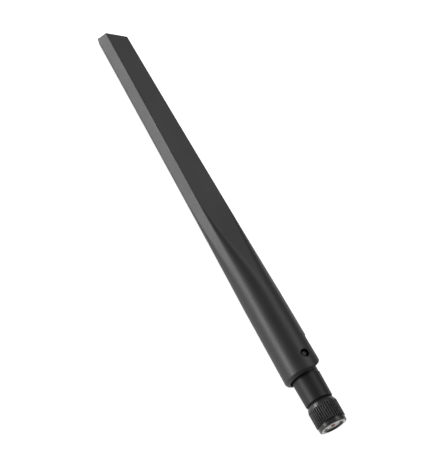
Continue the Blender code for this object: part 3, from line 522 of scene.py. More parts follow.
def arm_end_tool(name):
    """What the fork arms lack at their fold side's lower corners, which sweep up in a long curve."""
    corner = ARM_EDGE - ARM_CORNER
    run = corner - ARM_CURVE_START
    lift = ARM_CURVE - math.sqrt((ARM_CURVE - ARM_CORNER) ** 2 - run**2)
    meet = math.atan2(lift - ARM_CURVE, run)
    sweep = arc((ARM_CURVE_START, RIM + ARM_CURVE), ARM_CURVE, -quarter_turn, meet, SWEEP_STEPS)
    turn_up = arc((corner, RIM + lift), ARM_CORNER, meet, 0.0, CORNER_STEPS)
    wide, low = 2 * BASE_RADIUS, RIM - BASE_RADIUS
    outline = [*sweep, *turn_up[1:], (wide, RIM + lift), (wide, low), (ARM_CURVE_START, low)]
    return prism(name, [(x, -wide, z) for x, z in outline], (0.0, 2 * wide, 0.0))


def combine(piece, operation, *tools):
    """Cuts the tools from a piece, or joins them to it, and deletes the tools."""
    for tool in tools:
        modifier = piece.modifiers.new(tool.name, "BOOLEAN")
        modifier.operation = operation
        modifier.solver = "EXACT"
        modifier.object = tool
    settle(piece)
    for tool in tools:
        bpy.data.objects.remove(tool)


def finish_mesh(piece, material, edge=0.0, smooth_angle=MOULDED_SMOOTHING):
    """Rounds the sharp edges, shades the piece smooth and lays it down in its place."""
    shape = bmesh.new()
    shape.from_mesh(piece.data)
    bmesh.ops.remove_doubles(shape, verts=shape.verts, dist=WELD_DISTANCE)
    bmesh.ops.dissolve_degenerate(shape, edges=shape.edges, dist=WELD_DISTANCE)
    shape.to_mesh(piece.data)
    shape.free()
    if edge:
        bevel = piece.modifiers.new("edges", "BEVEL")
        bevel.width = edge
        bevel.segments = EDGE_SEGMENTS
        bevel.limit_method = "ANGLE"
        bevel.angle_limit = EDGE_ANGLE
        settle(piece)
    piece.data.shade_smooth()
    piece.data.set_sharp_from_angle(angle=math.radians(smooth_angle))
    piece.data.transform(laid)
    piece.data.materials.clear()
    piece.data.materials.append(material)
    weigh = piece.modifiers.new("face_weights", "WEIGHTED_NORMAL")
    weigh.keep_sharp = True
    settle(piece)


past = 2 * BASE_RADIUS
hole = rod("pivot_hole", BOSS_RADIUS + BOSS_ROOM, (0, -past, PIVOT), (0, past, PIVOT))
slot = slot_tool("fold_slot", SLOT_FROM_AXIS, past)
combine(shell, "DIFFERENCE", room, slot, hole, arm_end_tool("arm_ends"))
finish_mesh(shell, satin_black, MOULDED_EDGE)
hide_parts("housing")
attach(shell, "antenna")


# Elbow
# One black moulding: a round stem, a ball knuckle with flat cheeks and two bosses that snap into the
# housing's holes. The cable comes up through it and leaves by a slot that faces the fold side.

STEM_RADIUS = 4.55 * MM
STEM_END_RADIUS = 4.45 * MM
STEM_EDGE = 0.30 * MM
SHOULDER_STEP = 0.15 * MM
SWIVEL_ROOM = 2.65 * MM
SWIVEL_DEPTH = 3.85 * MM
CABLE_BORE_RADIUS = 1.20 * MM
CABLE_SLOT_BELOW_PIVOT = 2.45 * MM
BOSS_RECESS = 0.75 * MM
BOSS_TIP_RADIUS = 0.65 * MM
BOSS_CHAMFER = 0.45 * MM
ELBOW_EDGE = 0.10 * MM
BALL_STEPS = 30
STEM_EDGE_STEPS = 5
TURNED_SIDES = 96


def turned(name, outline, sides=TURNED_SIDES):
    """Spins a (radius, height) outline round the axis. "along" keeps the way along it, in mm."""
    drawing = bmesh.new()
    along = drawing.verts.layers.float.new("along")
    points, way = [], 0.0
    for radius, height in outline:
        point = drawing.verts.new((radius, 0.0, height))
        if points:
            way += (point.co - points[-1].co).length
        point[along] = way / MM
        points.append(point)
    line = [drawing.edges.new(pair) for pair in zip(points, points[1:])]
    if min(radius for radius, height in outline) > 0:
        line.append(drawing.edges.new((points[-1], points[0])))
    full_turn = {"cent": (0, 0, 0), "axis": (0, 0, 1), "angle": math.tau, "steps": sides}
    bmesh.ops.spin(drawing, geom=points + line, use_merge=True, **full_turn)
    bmesh.ops.remove_doubles(drawing, verts=drawing.verts, dist=WELD_DISTANCE)
    bmesh.ops.recalc_face_normals(drawing, faces=drawing.faces)
    return drawn_object(name, drawing)


def block(name, low, high):
    low, high = Vector(low), Vector(high)
    drawing = bmesh.new()
    bmesh.ops.create_cube(drawing, size=1.0)
    drawing.transform(Matrix.Translation((low + high) / 2) @ Matrix.Diagonal((*(high - low), 1.0)))
    return drawn_object(name, drawing)


neck = STEM_RADIUS - SHOULDER_STEP
ball = arc((0.0, PIVOT), KNUCKLE_RADIUS, -math.acos(neck / KNUCKLE_RADIUS), quarter_turn, BALL_STEPS)
stem_edge_place = (STEM_END_RADIUS - STEM_EDGE, STEM_BOTTOM + STEM_EDGE)
stem_outline = [
    (SWIVEL_ROOM, STEM_BOTTOM),
    *arc(stem_edge_place, STEM_EDGE, -quarter_turn, 0.0, STEM_EDGE_STEPS),
    (STEM_RADIUS, SHOULDER - SHOULDER_STEP),
    (neck, SHOULDER),
    *ball[:-1],
    (0.0, PIVOT + KNUCKLE_RADIUS),
    (0.0, PIVOT - CABLE_BORE_RADIUS),
    (CABLE_BORE_RADIUS, PIVOT - CABLE_BORE_RADIUS),
    (CABLE_BORE_RADIUS, STEM_BOTTOM + SWIVEL_DEPTH),
    (SWIVEL_ROOM, STEM_BOTTOM + SWIVEL_DEPTH),
    (SWIVEL_ROOM, STEM_BOTTOM),
]
knuckle = turned("elbow_moulding", stem_outline)
reach = 2 * KNUCKLE_RADIUS
cheek_bottom = SHOULDER + SHOULDER_STEP
cheeks = [
    block("near_cheek", (-reach, -reach, cheek_bottom), (reach, -KNUCKLE_HALF_WIDTH, PIVOT + reach)),
    block("far_cheek", (-reach, KNUCKLE_HALF_WIDTH, cheek_bottom), (reach, reach, PIVOT + reach)),
]
combine(knuckle, "DIFFERENCE", *cheeks)
boss_end = outer_size(PIVOT)[1] - BOSS_RECESS
boss_edge = boss_end - BOSS_CHAMFER
boss_outline = [(BOSS_TIP_RADIUS, boss_end), (BOSS_RADIUS, boss_edge)]
boss_outline += [(radius, -height) for radius, height in reversed(boss_outline)]
bosses = turned("bosses", [(0.0, boss_end), *boss_outline, (0.0, -boss_end)])
bosses.data.transform(Matrix.Translation((0, 0, PIVOT)) @ Matrix.Rotation(quarter_turn, 4, "X"))
combine(knuckle, "UNION", bosses)
cable_way = block(
    "cable_way",
    (-CABLE_BORE_RADIUS, -CABLE_BORE_RADIUS, PIVOT - CABLE_SLOT_BELOW_PIVOT),
    (reach, CABLE_BORE_RADIUS, PIVOT + reach),
)
combine(knuckle, "DIFFERENCE", cable_way)
elbow_black = moulded_plastic(
    "elbow_black_moulding",
    dark=(0.006, 0.006, 0.0064),
    light=(0.011, 0.011, 0.0114),
    roughness=0.47,
    grain_size=0.20 * MM,
    grain_depth=0.007 * MM,
    specular=0.34,
)
finish_mesh(knuckle, elbow_black, ELBOW_EDGE)
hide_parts("elbow")
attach(knuckle, "elbow")


# Cable through the hinge
# A thin coaxial cable with a smooth black jacket. It runs from the contact's tail through the elbow
# and the holder to the board's face, and bends where the housing tilts.

CABLE_RADIUS = 0.70 * MM
CABLE_OFFSET = 1.17 * MM
CABLE_START = 10.85 * MM
CABLE_END = 73.60 * MM
HOLDER_BOTTOM = 34.00 * MM
CABLE_RINGS = 120
CABLE_SIDES = 16


def cable_centre(height):
    return CABLE_OFFSET * eased(height, PIVOT + KNUCKLE_RADIUS, HOLDER_BOTTOM)


drawing = bmesh.new()
rings = []
for number in range(CABLE_RINGS + 1):
    height = between(CABLE_START, CABLE_END, number / CABLE_RINGS)
    ring = []
    for side in range(CABLE_SIDES):
        turn = math.tau * side / CABLE_SIDES
        x, y = CABLE_RADIUS * math.cos(turn), CABLE_RADIUS * math.sin(turn)
        ring.append(drawing.verts.new((x, y + cable_centre(height), height)))
    rings.append(ring)
for lower, upper in zip(rings, rings[1:]):
    for side in range(CABLE_SIDES):
        after = (side + 1) % CABLE_SIDES
        drawing.faces.new((lower[side], lower[after], upper[after], upper[side]))
drawing.faces.new(reversed(rings[0]))
drawing.faces.new(rings[-1])
jacket = drawn_object("cable_jacket", drawing)
jacket_black = moulded_plastic(
    "jacket_black", (0.012, 0.012, 0.012), (0.022, 0.022, 0.022), 0.34, 0.6 * MM, 0.004 * MM
)
finish_mesh(jacket, jacket_black)
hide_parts("coax_cable")
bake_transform(jacket)


# Nut sleeve
# A glossy black grip, moulded round the metal nut. It has a smooth band at the mouth, a straight
# knurl that fingers turn, and a smooth cone above it, where the ridges end.

KNURL_RIDGES = 40
RIDGE_SAMPLES = 18
RIDGE_CREST = 0.12
CREST_RADIUS = 4.80 * MM
KNURL_DEPTH = 0.35 * MM
BAND_RADIUS = 4.55 * MM
BAND_EDGE = 0.22 * MM
BAND_EDGE_STEPS = 4
BAND_HEIGHT = 1.25 * MM
BAND_TOP_EDGE = 0.05 * MM
BAND_TOP_EDGE_HEIGHT = 0.08 * MM
BAND_GROOVE_DEPTH = 0.22 * MM
BAND_GROOVE_HEIGHT = 0.30 * MM
SLEEVE_BOTTOM = 0.10 * MM
SLEEVE_TOP = 8.20 * MM
SLEEVE_LIP = 0.75 * MM
SLEEVE_CONE_HEIGHT = 1.15 * MM
SLEEVE_CONE_END = 4.38 * MM
SLEEVE_TOP_EDGE = 0.10 * MM
SLEEVE_BORE = 4.05 * MM
SLEEVE_HOLE = 2.70 * MM
KNURL_EDGE = 0.12 * MM
KNURL_RUN_OUT = 3 * KNURL_EDGE
KNURL_SMOOTHING = 28
GRIP_CLOUD = 1.2 * MM
GRIP_GRAIN = 0.12 * MM


def smooth(radius, height):
    """A ring of the sleeve that has no ridges: its crest and its valley are one."""
    return radius, radius, height


valley_radius = CREST_RADIUS - KNURL_DEPTH
band_top = SLEEVE_BOTTOM + BAND_HEIGHT
knurl_bottom = band_top + BAND_GROOVE_HEIGHT
groove_radius = BAND_RADIUS - BAND_GROOVE_DEPTH
knurl_top = SLEEVE_TOP - SLEEVE_TOP_EDGE - SLEEVE_CONE_HEIGHT
lip_bottom = SLEEVE_TOP - SLEEVE_LIP
corner_place = (BAND_RADIUS - BAND_EDGE, SLEEVE_BOTTOM + BAND_EDGE)
band_corner = arc(corner_place, BAND_EDGE, -quarter_turn, 0.0, BAND_EDGE_STEPS)
sleeve_rings = [
    *(smooth(radius, height) for radius, height in band_corner),
    smooth(BAND_RADIUS, band_top - BAND_TOP_EDGE_HEIGHT),
    smooth(BAND_RADIUS - BAND_TOP_EDGE, band_top),
    smooth(groove_radius, band_top + BAND_GROOVE_DEPTH / 2),
    smooth(groove_radius, knurl_bottom),
    (CREST_RADIUS - KNURL_EDGE, valley_radius, knurl_bottom),
    (CREST_RADIUS - KNURL_EDGE / 3, valley_radius, knurl_bottom + KNURL_EDGE / 3),
    (CREST_RADIUS, valley_radius, knurl_bottom + KNURL_EDGE),
    (CREST_RADIUS, valley_radius, knurl_top - KNURL_RUN_OUT),
    smooth(CREST_RADIUS, knurl_top),
    smooth(SLEEVE_CONE_END, SLEEVE_TOP - SLEEVE_TOP_EDGE),
    smooth(SLEEVE_CONE_END - SLEEVE_TOP_EDGE / 2, SLEEVE_TOP - SLEEVE_TOP_EDGE / 5),
    smooth(SLEEVE_CONE_END - SLEEVE_TOP_EDGE, SLEEVE_TOP),
    smooth(SLEEVE_HOLE, SLEEVE_TOP),
    smooth(SLEEVE_HOLE, lip_bottom),
    smooth(SLEEVE_BORE, lip_bottom),
    smooth(SLEEVE_BORE, SLEEVE_BOTTOM),
    smooth(BAND_RADIUS - BAND_EDGE, SLEEVE_BOTTOM),
]
grip = spine("knurled_grip", ("crest", "valley"), sleeve_rings)

gloss_black, graph, shader = material_graph("gloss_black_grip")
place = object_place(graph)
raised = graph.add("ShaderNodeAttribute", output="Fac", attribute_name="raised")
cloud = noise(graph, place, GRIP_CLOUD, 4.0)
fine = noise(graph, place, GRIP_GRAIN)
# Painted shade: the knurl's valleys are coloured darker than its crests and smooth bands, whose tone
# varies at random.
valley_shade_and_tone = (raised * (cloud * 0.8 + 0.2)).clipped()
colour = graph.blend((0.001, 0.001, 0.001), (0.026, 0.026, 0.027), valley_shade_and_tone)
gloss = 0.90 - raised * 0.58 + (fine - 0.5) * 0.05
surface(graph, shader, colour, gloss, fine, 0.2, 0.002 * MM)

knurl_sizes = {"Ridges": KNURL_RIDGES, "Samples": RIDGE_SAMPLES, "Crest width": RIDGE_CREST}
graph, size = geometry_graph("straight_knurl", knurl_sizes)
line = size["Geometry"]
around = size["Ridges"] * size["Samples"]
sheet, ring, column = ring_sheet(graph, line, around)
share = (column % size["Samples"]) / size["Samples"]
wave = graph.math("ABSOLUTE", share * 2 - 1)
flank = ((wave - size["Crest width"]) / (1 - size["Crest width"])).clipped()
ridge = graph.math("COSINE", flank * quarter_turn)
crest, valley = (at_ring(graph, line, ring, key) for key in ("crest", "valley"))
radius = valley + (crest - valley) * ridge
turn = column / around * math.tau
x = radius * graph.math("COSINE", turn)
y = radius * graph.math("SINE", turn)
raised_share = 1 - (1 - ridge) * (crest - valley) / KNURL_DEPTH
kept = graph.add(
    "GeometryNodeStoreNamedAttribute",
    {"Geometry": sheet, "Name": "raised", "Value": raised_share},
    data_type="FLOAT",
    domain="POINT",
)
wrap_sheet(graph, kept, x, y, ring_height(graph, line, ring), gloss_black)
run_graph(grip, graph, knurl_sizes)
close_ends(grip.data)
finish_mesh(grip, gloss_black, smooth_angle=KNURL_SMOOTHING)
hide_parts("nut_sleeve")
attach(grip, "coupling_nut")


# Nut core
# A brass nut with nickel plate, turned on a lathe. Its end ring shows at the mouth, and the thread
# inside it screws on to the jack.

THREAD_RADIUS = 3.175 * MM
THREAD_PITCH = 0.7056 * MM
THREAD_RIDGE = 0.38 * MM
THREAD_SINK = 0.02 * MM
THREAD_HALF_BASE = 0.42 * THREAD_PITCH
THREAD_CREST = 0.12
THREAD_FADE = 14
TURN_STEPS = 72
THREAD_END = 4.90 * MM
RELIEF_LENGTH = 1.85 * MM
CORE_RADIUS = 4.00 * MM
CORE_LENGTH = 7.40 * MM
CORE_EDGE = 0.05 * MM
MOUTH_CHAMFER = 0.25 * MM
THREAD_START = 0.6 * MOUTH_CHAMFER
NECK_ROOM = 2.65 * MM
SNAP_ROOM_RADIUS = 3.00 * MM
SNAP_ROOM = (6.15 * MM, 6.85 * MM)
TURNED_SMOOTHING = 25
PLATE_MARKS = 0.05
PLATE_CLOUD = 1.5 * MM
NEVER_SHADED = 99.0


def turning_marks(graph, size):
    """Fine lines round a turned piece, and the way along its outline, both in mm."""
    along = graph.add("ShaderNodeAttribute", output="Fac", attribute_name="along")
    sockets = {"W": along / size, "Scale": 1.0, "Detail": 2.0}
    return graph.add("ShaderNodeTexNoise", sockets, noise_dimensions="1D"), along


def plated_metal(name, dark, light, roughness, shaded_after=NEVER_SHADED):
    """Plated metal with fine turning marks. Past a way along its outline, in mm, its colour is painted
    darker, as painted shade in a bore.
    """
    material, graph, shader = material_graph(name)
    marks, along = turning_marks(graph, PLATE_MARKS)
    cloud = noise(graph, object_place(graph), PLATE_CLOUD, 4.0)
    plate = graph.blend(dark, light, cloud)
    # Painted shade: past that way along the outline, inside the bore, the plate's colour is blended
    # towards dark grey.
    colour = graph.blend(plate, (0.05, 0.05, 0.05), along.over(shaded_after) * 0.8)
    gloss = roughness + (marks - 0.5) * 0.12 + (cloud - 0.5) * 0.10
    surface(graph, shader, colour, gloss, marks, 0.35, 0.004 * MM)
    shader.inputs["Metallic"].default_value = 1.0
    return material


core_outline = [
    (THREAD_RADIUS + MOUTH_CHAMFER, 0.0),
    (CORE_RADIUS - CORE_EDGE, 0.0),
    (CORE_RADIUS, CORE_EDGE),
    (CORE_RADIUS, CORE_LENGTH),
    (NECK_ROOM, CORE_LENGTH),
    (NECK_ROOM, SNAP_ROOM[1]),
    (SNAP_ROOM_RADIUS, SNAP_ROOM[1]),
    (SNAP_ROOM_RADIUS, SNAP_ROOM[0]),
    (NECK_ROOM, SNAP_ROOM[0]),
    (NECK_ROOM, THREAD_END),
    (THREAD_RADIUS, THREAD_END),
    (THREAD_RADIUS, MOUTH_CHAMFER),
]
nickel = plated_metal("nickel_plate", (0.46, 0.45, 0.43), (0.60, 0.59, 0.57), 0.24)
# The nut's nickel plate is painted darker than the plug body's, as painted shade, and past its end face
# it is painted darker still, as painted shade inside the bore.
shaded_nut_nickel = plated_metal(
    "nut_nickel_plate", (0.20, 0.195, 0.19), (0.38, 0.375, 0.36), 0.24, shaded_after=0.7
)
core = turned("nut_with_plate", core_outline)
finish_mesh(core, shaded_nut_nickel, smooth_angle=TURNED_SMOOTHING)
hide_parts("nut_core")
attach(core, "coupling_nut")

thread_length = THREAD_END - RELIEF_LENGTH - THREAD_START
thread_sizes = {
    "Turns": thread_length / THREAD_PITCH,
    "Radius": THREAD_RADIUS + THREAD_SINK,
    "Length": thread_length,
    "Ridge": THREAD_RIDGE,
    "Half base": THREAD_HALF_BASE,
    "Turn steps": TURN_STEPS,
}
graph, size = geometry_graph("nut_thread", thread_sizes)
spiral = graph.add(
    "GeometryNodeCurveSpiral",
    {
        "Resolution": size["Turn steps"],
        "Rotations": size["Turns"],
        "Start Radius": size["Radius"],
        "End Radius": size["Radius"],
        "Height": size["Length"],
    },
)
# The ridge grows out of the bore's wall at one end of the thread and sinks back at the other.
factor = graph.add("GeometryNodeSplineParameter")
ends = graph.math("MINIMUM", factor * THREAD_FADE, (1 - factor) * THREAD_FADE).clipped()
upright = graph.add("GeometryNodeSetCurveNormal", {"Curve": spiral}, mode="Z_UP")
corners = {}
for number, (rise, share) in enumerate(((0.0, -1), (1.0, -THREAD_CREST), (1.0, THREAD_CREST), (0.0, 1))):
    spot = {"X": size["Ridge"] * rise, "Y": size["Half base"] * share, "Z": 0.0}
    corners[f"Point {number + 1}"] = graph.add("ShaderNodeCombineXYZ", spot)
profile = graph.add("GeometryNodeCurvePrimitiveQuadrilateral", corners, mode="POINTS")
sweep = {"Curve": upright, "Profile Curve": profile, "Scale": ends, "Fill Caps": True}
swept = graph.add("GeometryNodeCurveToMesh", sweep)
# The thread's nickel is painted dark grey, as painted shade inside the nut's bore.
shaded_thread_nickel = plated_metal("shaded_thread_nickel", (0.08, 0.08, 0.075), (0.14, 0.14, 0.13), 0.32)
finish_graph(graph, swept, shaded_thread_nickel)
thread = mesh_object("nut_thread_ridge", bpy.data.meshes.new("nut_thread_ridge"))
run_graph(thread, graph, thread_sizes)
thread.data.transform(Matrix.Translation((0, 0, THREAD_START)))
finish_mesh(thread, shaded_thread_nickel, smooth_angle=TURNED_SMOOTHING)
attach(thread, "coupling_nut")


# Plug body
# A turned brass body with nickel plate: the thin front ring that seats in the jack, the neck that
# the nut turns on, and the tail that the cable's braid is crimped to.

FRONT_RADIUS = 2.30 * MM
FRONT_WALL = 0.25 * MM
FRONT_SETBACK = 0.50 * MM
NECK_RADIUS = 2.55 * MM
NECK_BOTTOM = 4.05 * MM
SNAP_FLOOR = 2.15 * MM
SNAP_GROOVE = (5.35 * MM, 6.85 * MM)
CLIP_GROOVE = (11.15 * MM, 11.85 * MM)
NECK_TOP = 12.60 * MM
TAIL_RADIUS = 1.20 * MM
TAIL_TOP = 17.00 * MM
TAIL_ROOM = 0.80 * MM
INSULATOR_STEP = 3.65 * MM
INSULATOR_TOP = 9.50 * MM
INSULATOR_SHOULDER = 0.40 * MM
INSULATOR_PLAY = 0.10 * MM
SMALL_EDGE = 0.06 * MM

front_room = FRONT_RADIUS - FRONT_WALL
body_outline = [
    (front_room + SMALL_EDGE, FRONT_SETBACK),
    (FRONT_RADIUS - SMALL_EDGE, FRONT_SETBACK),
    (FRONT_RADIUS, FRONT_SETBACK + SMALL_EDGE),
    (FRONT_RADIUS, NECK_BOTTOM),
    (NECK_RADIUS - SMALL_EDGE, NECK_BOTTOM),
    (NECK_RADIUS, NECK_BOTTOM + SMALL_EDGE),
    (NECK_RADIUS, SNAP_GROOVE[0]),
    (SNAP_FLOOR, SNAP_GROOVE[0]),
    (SNAP_FLOOR, SNAP_GROOVE[1]),
    (NECK_RADIUS, SNAP_GROOVE[1]),
    (NECK_RADIUS, CLIP_GROOVE[0]),
    (SNAP_FLOOR, CLIP_GROOVE[0]),
    (SNAP_FLOOR, CLIP_GROOVE[1]),
    (NECK_RADIUS, CLIP_GROOVE[1]),
    (NECK_RADIUS, NECK_TOP),
    (TAIL_RADIUS, NECK_TOP),
    (TAIL_RADIUS, TAIL_TOP),
    (TAIL_ROOM, TAIL_TOP),
    (TAIL_ROOM, INSULATOR_TOP + INSULATOR_PLAY),
    (front_room - INSULATOR_SHOULDER, INSULATOR_TOP + INSULATOR_PLAY),
    (front_room - INSULATOR_SHOULDER, INSULATOR_STEP),
    (front_room, INSULATOR_STEP),
    (front_room, FRONT_SETBACK + SMALL_EDGE),
]
body = turned("plug_body", body_outline)
finish_mesh(body, nickel, smooth_angle=TURNED_SMOOTHING)
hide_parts("connector_body")
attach(body, "connector")


# Insulator and centre contact
# A white fluoropolymer bead, pressed into the plug body, holds a gold-plated socket. The socket is
# slit lengthwise, so that its fingers grip the jack's pin.

INSULATOR_BOTTOM = 0.55 * MM
BEAD_ROOM = 0.05 * MM
CONTACT_RADIUS = 0.635 * MM
CONTACT_HOLE = 0.47 * MM
CONTACT_BOTTOM = 0.35 * MM
CONTACT_HOLE_END = 3.55 * MM
CONTACT_TOP = 10.60 * MM
CONTACT_EDGE = 0.05 * MM
CONTACT_SIDES = 48
SLIT_WIDTH = 0.16 * MM
SLIT_DEPTH = 2.40 * MM
SLITS = 2
BEAD_MARKS = 0.07
BEAD_CLOUD = 0.7 * MM

white_bead, graph, shader = material_graph("white_bead")
cloud = noise(graph, object_place(graph), BEAD_CLOUD, 3.0)
marks = turning_marks(graph, BEAD_MARKS)[0]
colour = graph.blend((0.76, 0.75, 0.73), (0.90, 0.89, 0.87), cloud)
surface(graph, shader, colour, 0.42 + (marks - 0.5) * 0.16, marks, 0.25, 0.004 * MM)
shader.inputs["Subsurface Weight"].default_value = 0.15
shader.inputs["Subsurface Scale"].default_value = 0.4 * MM

bead_front = front_room - BEAD_ROOM
bead_bore = CONTACT_RADIUS + BEAD_ROOM
bead_outline = [
    (bead_bore, INSULATOR_BOTTOM + SMALL_EDGE),
    (bead_bore + SMALL_EDGE, INSULATOR_BOTTOM),
    (bead_front - SMALL_EDGE, INSULATOR_BOTTOM),
    (bead_front, INSULATOR_BOTTOM + SMALL_EDGE),
    (bead_front, INSULATOR_STEP - INSULATOR_PLAY),
    (bead_front - INSULATOR_SHOULDER, INSULATOR_STEP - INSULATOR_PLAY),
    (bead_front - INSULATOR_SHOULDER, INSULATOR_TOP),
    (bead_bore, INSULATOR_TOP),
]
bead = turned("insulator_bead", bead_outline)
finish_mesh(bead, white_bead, smooth_angle=TURNED_SMOOTHING)
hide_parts("insulator")
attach(bead, "connector")

gold = plated_metal("gold_plate", (0.36, 0.13, 0.08), (0.52, 0.22, 0.13), 0.26)
contact_outline = [
    (0.0, CONTACT_HOLE_END),
    (CONTACT_HOLE, CONTACT_HOLE_END),
    (CONTACT_HOLE, CONTACT_BOTTOM + CONTACT_EDGE),
    (CONTACT_HOLE + CONTACT_EDGE, CONTACT_BOTTOM),
    (CONTACT_RADIUS - CONTACT_EDGE, CONTACT_BOTTOM),
    (CONTACT_RADIUS, CONTACT_BOTTOM + CONTACT_EDGE),
    (CONTACT_RADIUS, CONTACT_TOP),
    (0.0, CONTACT_TOP),
]
contact = turned("centre_socket", contact_outline, sides=CONTACT_SIDES)
wide, half, slit_end = 2 * CONTACT_RADIUS, SLIT_WIDTH / 2, CONTACT_BOTTOM + SLIT_DEPTH
for number in range(SLITS):
    slit = block("slit", (-wide, -half, -CONTACT_TOP), (wide, half, slit_end))
    slit.data.transform(Matrix.Rotation(math.pi * (number + 0.5) / SLITS, 4, "Z"))
    combine(contact, "DIFFERENCE", slit)
finish_mesh(contact, gold, smooth_angle=TURNED_SMOOTHING)
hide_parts("centre_contact")
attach(contact, "connector")


# Gasket, snap ring, collar and clip
# Small rings. A soft gasket seals the mouth, an open snap ring holds the nut, a black collar fills
# the groove below the elbow, and an open clip holds the elbow on the neck.

GASKET_RADII = (2.40 * MM, 3.00 * MM)
GASKET_HEIGHTS = (3.15 * MM, 3.95 * MM)
GASKET_EDGE = 0.15 * MM
COLLAR_RADII = (2.65 * MM, 4.20 * MM)
COLLAR_HEIGHTS = (8.30 * MM, 8.75 * MM)
COLLAR_EDGE = 0.08 * MM
RING_EDGE_STEPS = 3
RING_SMOOTHING = 40


def rounded_ring(name, radii, heights, edge):
    """A ring of rectangular section with its four edges rounded."""
    inner, outer = radii[0] + edge, radii[1] - edge
    bottom, top = heights[0] + edge, heights[1] - edge
    places = ((inner, bottom), (outer, bottom), (outer, top), (inner, top))
    outline = []
    for number, place in enumerate(places):
        turn = (number + 2) % 4 * quarter_turn
        outline += arc(place, edge, turn, turn + quarter_turn, RING_EDGE_STEPS)
    return turned(name, outline)


gasket = rounded_ring("red_gasket", GASKET_RADII, GASKET_HEIGHTS, GASKET_EDGE)
gasket_red = moulded_plastic(
    "gasket_silicone", (0.24, 0.035, 0.022), (0.33, 0.060, 0.040), 0.50, 0.12 * MM, 0.004 * MM
)
finish_mesh(gasket, gasket_red, smooth_angle=RING_SMOOTHING)
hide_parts("sealing_gasket")
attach(gasket, "connector")

collar = rounded_ring("neck_collar", COLLAR_RADII, COLLAR_HEIGHTS, COLLAR_EDGE)
# The collar is black plastic, coloured darker than the other mouldings as painted shade in the groove
# between the elbow and the nut.
shaded_collar_black = moulded_plastic(
    "shaded_collar_black", (0.003, 0.003, 0.003), (0.006, 0.006, 0.006), 0.70, 0.2 * MM, 0.004 * MM, 0.2
)
finish_mesh(collar, shaded_collar_black, smooth_angle=RING_SMOOTHING)
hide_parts("collar_ring")
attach(collar, "connector")


def plain_metal(name, dark, light, roughness, grain_size):
    """Metal with the brushed or drawn look of small stampings."""
    material, graph, shader = material_graph(name)
    grain = noise(graph, object_place(graph), grain_size, 4.0)
    colour = graph.blend(dark, light, grain)
    surface(graph, shader, colour, roughness + (grain - 0.5) * 0.18, grain, 0.3, 0.003 * MM)
    shader.inputs["Metallic"].default_value = 1.0
    return material


def redress(node, material):
    """Gives a CAD node's own mesh a finish."""
    piece = frame["nodes"][node]
    piece.data.materials.clear()
    piece.data.materials.append(material)


spring_steel = plain_metal("spring_steel", (0.34, 0.34, 0.35), (0.50, 0.50, 0.52), 0.32, 0.15 * MM)
ferrule_plate = plain_metal("ferrule_plate", (0.52, 0.50, 0.46), (0.66, 0.64, 0.60), 0.30, 0.3 * MM)
redress("snap_ring", spring_steel)
redress("retaining_clip", spring_steel)
redress("crimp_ferrule", ferrule_plate)


# Board, copper and cable end
# Inside the closed housing: a green laminate board with two copper halves, a natural plastic holder,
# and the cable's end with its shrink sleeve, tinned braid, bared core and solder.

WEAVE_SIZE = 2.00 * MM

board_green, graph, shader = material_graph("green_laminate")
weave = {"Vector": object_place(graph), "Scale": 1 / WEAVE_SIZE, "Distortion": 0.6}
warp, weft = (graph.add("ShaderNodeTexWave", weave, bands_direction=way) for way in ("X", "Y"))
threads = warp * weft
colour = graph.blend((0.020, 0.100, 0.035), (0.045, 0.170, 0.070), threads)
surface(graph, shader, colour, 0.30 + threads * 0.15, threads, 0.2, 0.01 * MM)
redress("antenna_board", board_green)

bare_copper = plain_metal("bare_copper", (0.55, 0.24, 0.13), (0.72, 0.36, 0.20), 0.30, 0.4 * MM)
tinned = plain_metal("tinned_braid", (0.50, 0.49, 0.46), (0.68, 0.66, 0.62), 0.38, 0.1 * MM)
solder = plain_metal("solder", (0.46, 0.46, 0.47), (0.62, 0.62, 0.63), 0.24, 0.5 * MM)
redress("upper_radiator", bare_copper)
redress("lower_radiator", bare_copper)
redress("braid_end", tinned)
redress("feed_solder", solder)
redress("ground_solder", solder)
natural = moulded_plastic(
    "natural_holder", (0.50, 0.49, 0.45), (0.60, 0.59, 0.55), 0.48, 0.3 * MM, 0.006 * MM
)
shrink_red = moulded_plastic(
    "red_shrink", (0.20, 0.015, 0.015), (0.30, 0.03, 0.03), 0.45, 0.2 * MM, 0.004 * MM
)
bared_core = moulded_plastic(
    "bared_core", (0.70, 0.68, 0.63), (0.80, 0.78, 0.73), 0.40, 0.2 * MM, 0.003 * MM
)
redress("board_holder", natural)
redress("shrink_sleeve", shrink_red)
redress("cable_core", bared_core)


# Floor, light and camera
# The antenna lies on a plain white floor in a soft studio: a long low lamp on the bevel's side, a wide
# one high up behind it, and an even pale room.

FLOOR_HALF = 1.5
FLOOR_GLOW = 0.88
MIRRORED_GLOW = 0.74
ROOM_LIGHT = 0.22


def ray_kinds(graph, *kinds):
    """A wire for each kind of ray. It is 1 on such a ray, else 0."""
    rays = graph.tree.nodes.new("ShaderNodeLightPath")
    return [Wire(graph, rays.outputs[f"Is {kind} Ray"]) for kind in kinds]


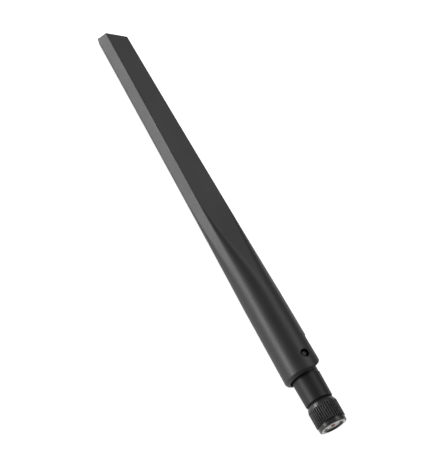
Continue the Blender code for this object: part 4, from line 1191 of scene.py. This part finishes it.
floor_mesh = bpy.data.meshes.new("floor")
corners = [(x * FLOOR_HALF, y * FLOOR_HALF, 0.0) for x, y in ((-1, -1), (1, -1), (1, 1), (-1, 1))]
floor_mesh.from_pydata(corners, [], [(0, 1, 2, 3)])
floor = mesh_object("floor", floor_mesh)
white_floor, graph, shader = material_graph("white_floor")
shader.inputs["Base Color"].default_value = (0.82, 0.82, 0.82, 1.0)
shader.inputs["Roughness"].default_value = 0.9
shader.inputs["Specular IOR Level"].default_value = 0.1
straight, glossy, through = ray_kinds(graph, "Camera", "Glossy", "Transmission")
strength = straight * FLOOR_GLOW + (glossy + through).clipped() * (1 - straight) * MIRRORED_GLOW
glow = graph.add("ShaderNodeEmission", {"Color": (1.0, 1.0, 1.0, 1.0), "Strength": strength})
lit = graph.add("ShaderNodeAddShader", {0: Wire(graph, shader.outputs[0]), 1: glow})
graph.join(lit, white_floor.node_tree.nodes["Material Output"].inputs["Surface"])
floor_mesh.materials.append(white_floor)

world = bpy.data.worlds.new("pale_room")
world.use_nodes = True
bpy.context.scene.world = world
graph = Graph(world.node_tree)
straight = ray_kinds(graph, "Camera")[0]
background = world.node_tree.nodes["Background"]
background.inputs["Color"].default_value = (1.0, 1.0, 1.0, 1.0)
graph.join(straight + (1 - straight) * ROOM_LIGHT, background.inputs["Strength"])


def direction(azimuth, elevation):
    """The way from the antenna. In degrees, azimuth 0 is the -Y side and 90 the +X side."""
    azimuth, elevation = math.radians(azimuth), math.radians(elevation)
    flat = math.cos(elevation)
    return Vector((math.sin(azimuth) * flat, -math.cos(azimuth) * flat, math.sin(elevation)))


def soft_lamp(name, azimuth, elevation, distance, width, height, power):
    """A rectangular lamp that faces the antenna."""
    way = direction(azimuth, elevation)
    light = bpy.data.lights.new(name, "AREA")
    light.shape = "RECTANGLE"
    light.size, light.size_y = width, height
    light.energy = power
    lamp = bpy.data.objects.new(name, light)
    lamp.location = way * distance
    lamp.rotation_euler = way.to_track_quat("Z", "Y").to_euler()
    bpy.context.scene.collection.objects.link(lamp)


soft_lamp("low_key", azimuth=-30, elevation=4.0, distance=0.52, width=0.56, height=0.086, power=3.25)
soft_lamp("overhead_strip", azimuth=-165, elevation=63, distance=1.0, width=1.2, height=0.40, power=4.1)

IMAGE_WIDTH = 440
FOCAL_PIXELS = 3500
SENSOR_WIDTH = 36.0
VIEW_AZIMUTH = 28.15
VIEW_ELEVATION = 53.30
VIEW_ROLL = math.radians(38.01)
VIEW_DISTANCE = 1.0660
AIM = Vector((-0.00037, -0.00006, 0.00609))

toward = direction(VIEW_AZIMUTH, VIEW_ELEVATION)
level = Vector((0, 0, 1)).cross(toward).normalized()
upward = toward.cross(level)
right = math.cos(VIEW_ROLL) * level + math.sin(VIEW_ROLL) * upward
up = math.cos(VIEW_ROLL) * upward - math.sin(VIEW_ROLL) * level
lens = bpy.data.cameras.new("camera")
lens.sensor_fit = "HORIZONTAL"
lens.sensor_width = SENSOR_WIDTH
lens.lens = SENSOR_WIDTH * FOCAL_PIXELS / IMAGE_WIDTH
lens.clip_start = 0.01
camera = bpy.data.objects.new("camera", lens)
turned_view = Matrix((right, up, toward)).transposed().to_4x4()
camera.matrix_world = Matrix.Translation(AIM + VIEW_DISTANCE * toward) @ turned_view
bpy.context.scene.collection.objects.link(camera)
bpy.context.scene.camera = camera
bpy.context.scene.view_settings.view_transform = "Standard"
